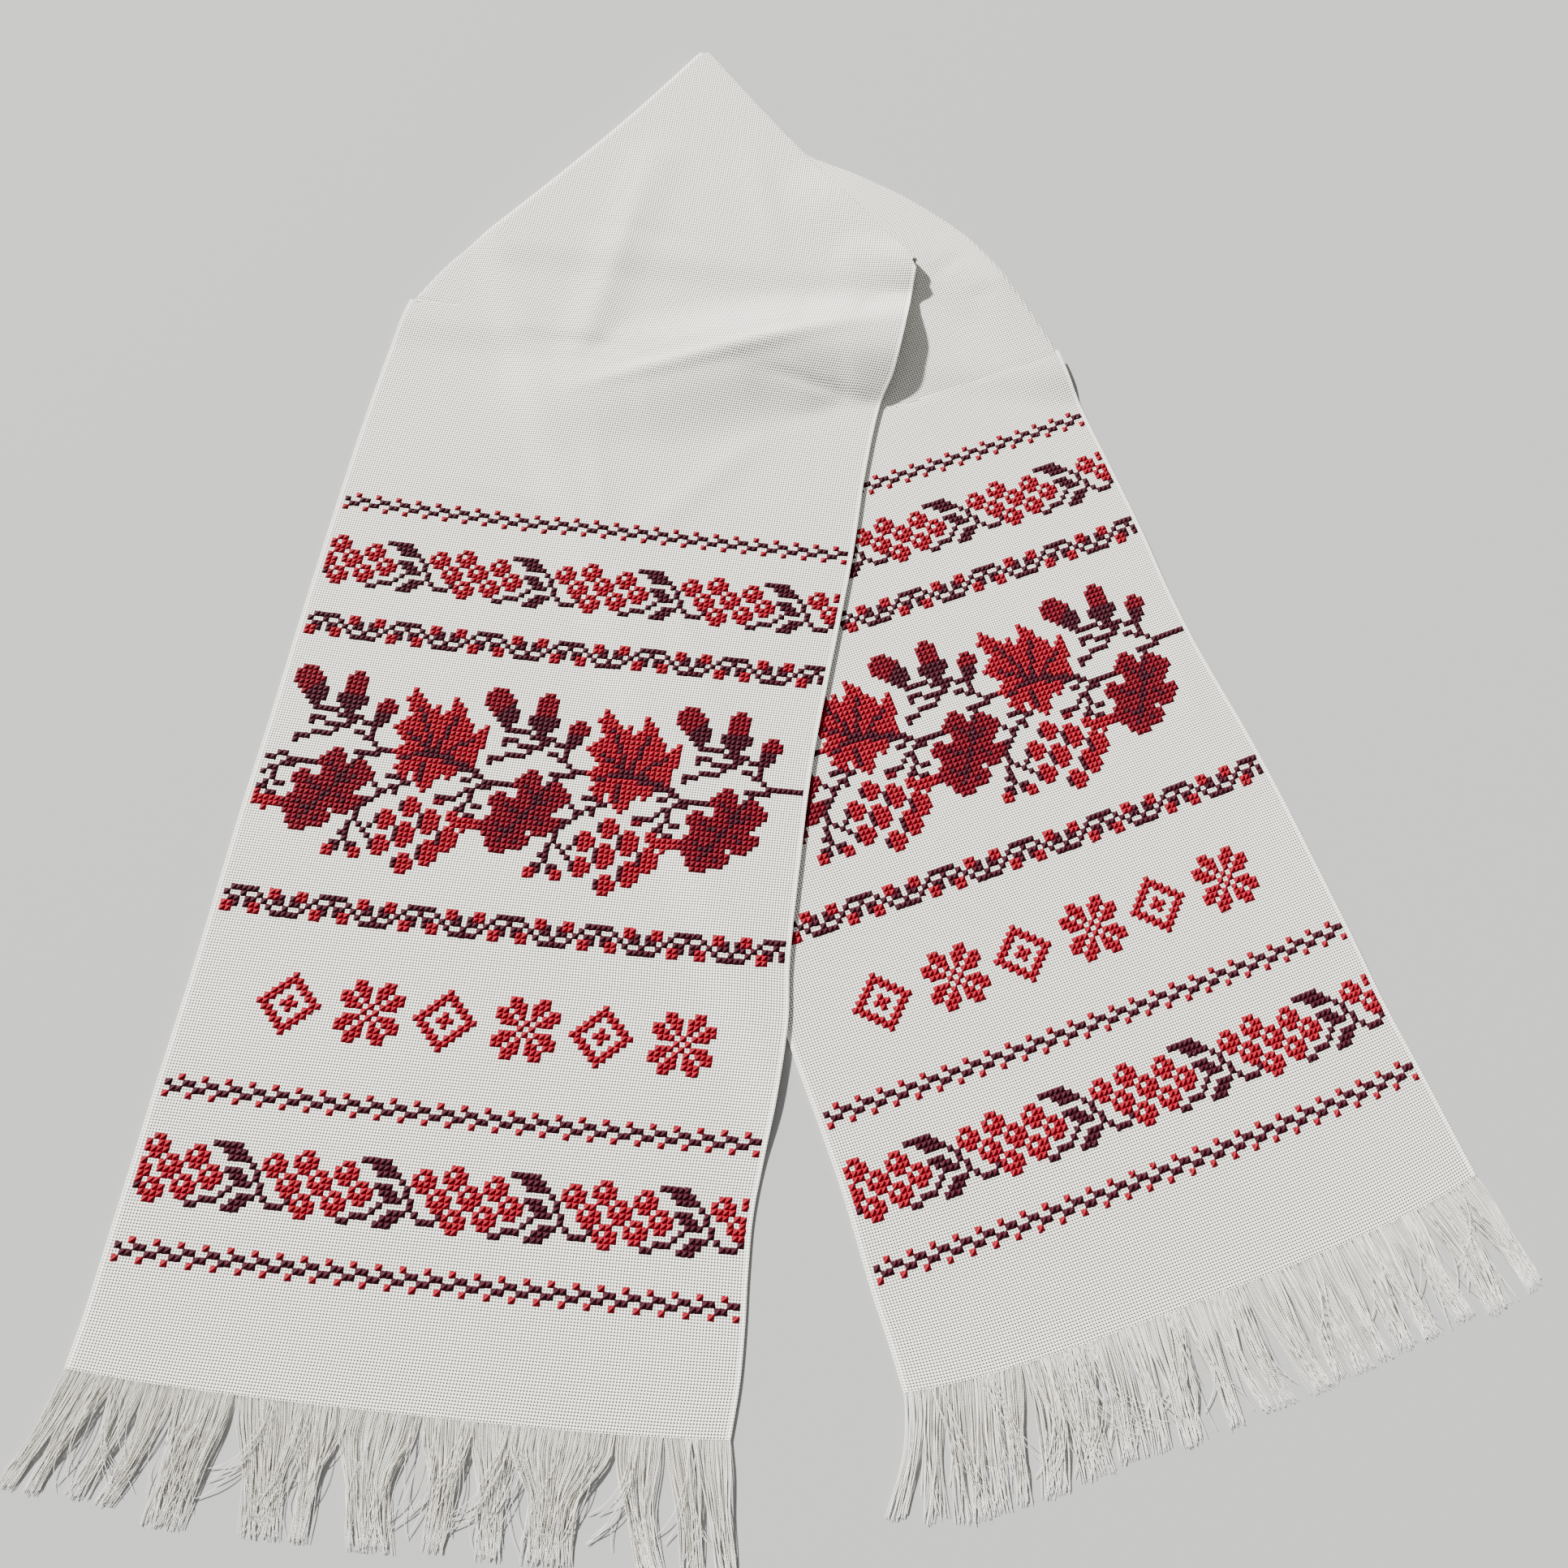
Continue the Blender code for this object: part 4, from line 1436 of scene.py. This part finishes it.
class TOWEL_OT_studio(bpy.types.Operator):
    """Set the floor, the lights and the camera"""

    bl_idname = "towel.studio"
    bl_label = "Studio"

    def execute(self, context):
        scene = context.scene
        bpy.ops.object.select_all(action="DESELECT")
        bpy.ops.mesh.primitive_plane_add(size=8.0, location=(0, 0, -0.0004))
        floor = context.object
        floor.name = "floor"
        material, tree, shader = plain_material("studio floor", tuple(scene.towel_colours.floor), 0.9)
        floor.data.materials.append(material)
        world = scene.world or bpy.data.worlds.new("studio")
        scene.world = world
        world.use_nodes = True
        background = world.node_tree.nodes.get("Background") or world.node_tree.nodes.new("ShaderNodeBackground")
        background.inputs["Color"].default_value = (1.0, 1.0, 1.0, 1.0)
        background.inputs["Strength"].default_value = 0.44
        bpy.ops.object.light_add(type="SUN", location=(-1.0, 1.0, 1.5))
        sun = context.object
        sun.name = "key light"
        sun.data.energy = 16.5
        sun.data.angle = math.radians(3)
        sun.data.color = (1.0, 0.985, 0.96)
        away = np.array((0.64, -0.54, -0.50))
        sun.rotation_euler = look_along(away)
        bpy.ops.object.camera_add(location=(-0.04528, -0.45007, 0.8555))
        camera = context.object
        camera.name = "camera"
        camera.data.sensor_width = 36.0
        camera.data.lens = 36.0 * 1769.5 / 1932.0
        camera.data.clip_start = 0.02
        camera.rotation_euler = camera_turn(math.radians(67.01), math.radians(5.60))
        scene.camera = camera
        return {"FINISHED"}


def look_along(way):
    """Turn of a light that shines along a direction."""
    from mathutils import Vector
    return Vector(way).to_track_quat("-Z", "Y").to_euler()


def camera_turn(pitch, roll):
    """Turn of a camera that looks down by pitch from the horizon along +Y, rolled."""
    from mathutils import Matrix
    ahead = np.array((0.0, math.cos(pitch), -math.sin(pitch)))
    up = np.array((0.0, math.sin(pitch), math.cos(pitch)))
    right = np.array((1.0, 0.0, 0.0))
    x = math.cos(roll) * right + math.sin(roll) * up
    y = -math.sin(roll) * right + math.cos(roll) * up
    return Matrix((x, y, -ahead)).transposed().to_euler()


class TOWEL_PT_panel(bpy.types.Panel):
    """Lists the pieces of the towel"""

    bl_label = "Towel"
    bl_idname = "TOWEL_PT_panel"
    bl_space_type = "VIEW_3D"
    bl_region_type = "UI"
    bl_category = "Towel"

    def draw(self, context):
        for group in (context.scene.towel_cloth, context.scene.towel_stitches,
                      context.scene.towel_fringe, context.scene.towel_colours):
            box = self.layout.box()
            for name in group.__annotations__:
                box.prop(group, name)
        for name in ("towel.cloth", "towel.stitches", "towel.fringe", "towel.studio"):
            self.layout.operator(name)


groups = (
    ("towel_cloth", ClothSizes),
    ("towel_stitches", StitchSizes),
    ("towel_fringe", FringeSizes),
    ("towel_colours", TowelColours),
)
operators = (TOWEL_OT_cloth, TOWEL_OT_stitches, TOWEL_OT_fringe, TOWEL_OT_studio)


def register():
    for name, group in groups:
        bpy.utils.register_class(group)
        setattr(bpy.types.Scene, name, bpy.props.PointerProperty(type=group))
    for item in operators:
        bpy.utils.register_class(item)
    bpy.utils.register_class(TOWEL_PT_panel)


def unregister():
    bpy.utils.unregister_class(TOWEL_PT_panel)
    for item in reversed(operators):
        bpy.utils.unregister_class(item)
    for name, group in reversed(groups):
        delattr(bpy.types.Scene, name)
        bpy.utils.unregister_class(group)


def main():
    register()
    bpy.ops.towel.cloth()
    bpy.ops.towel.stitches()
    bpy.ops.towel.fringe()
    bpy.ops.towel.studio()


if __name__ == "__main__":
    main()
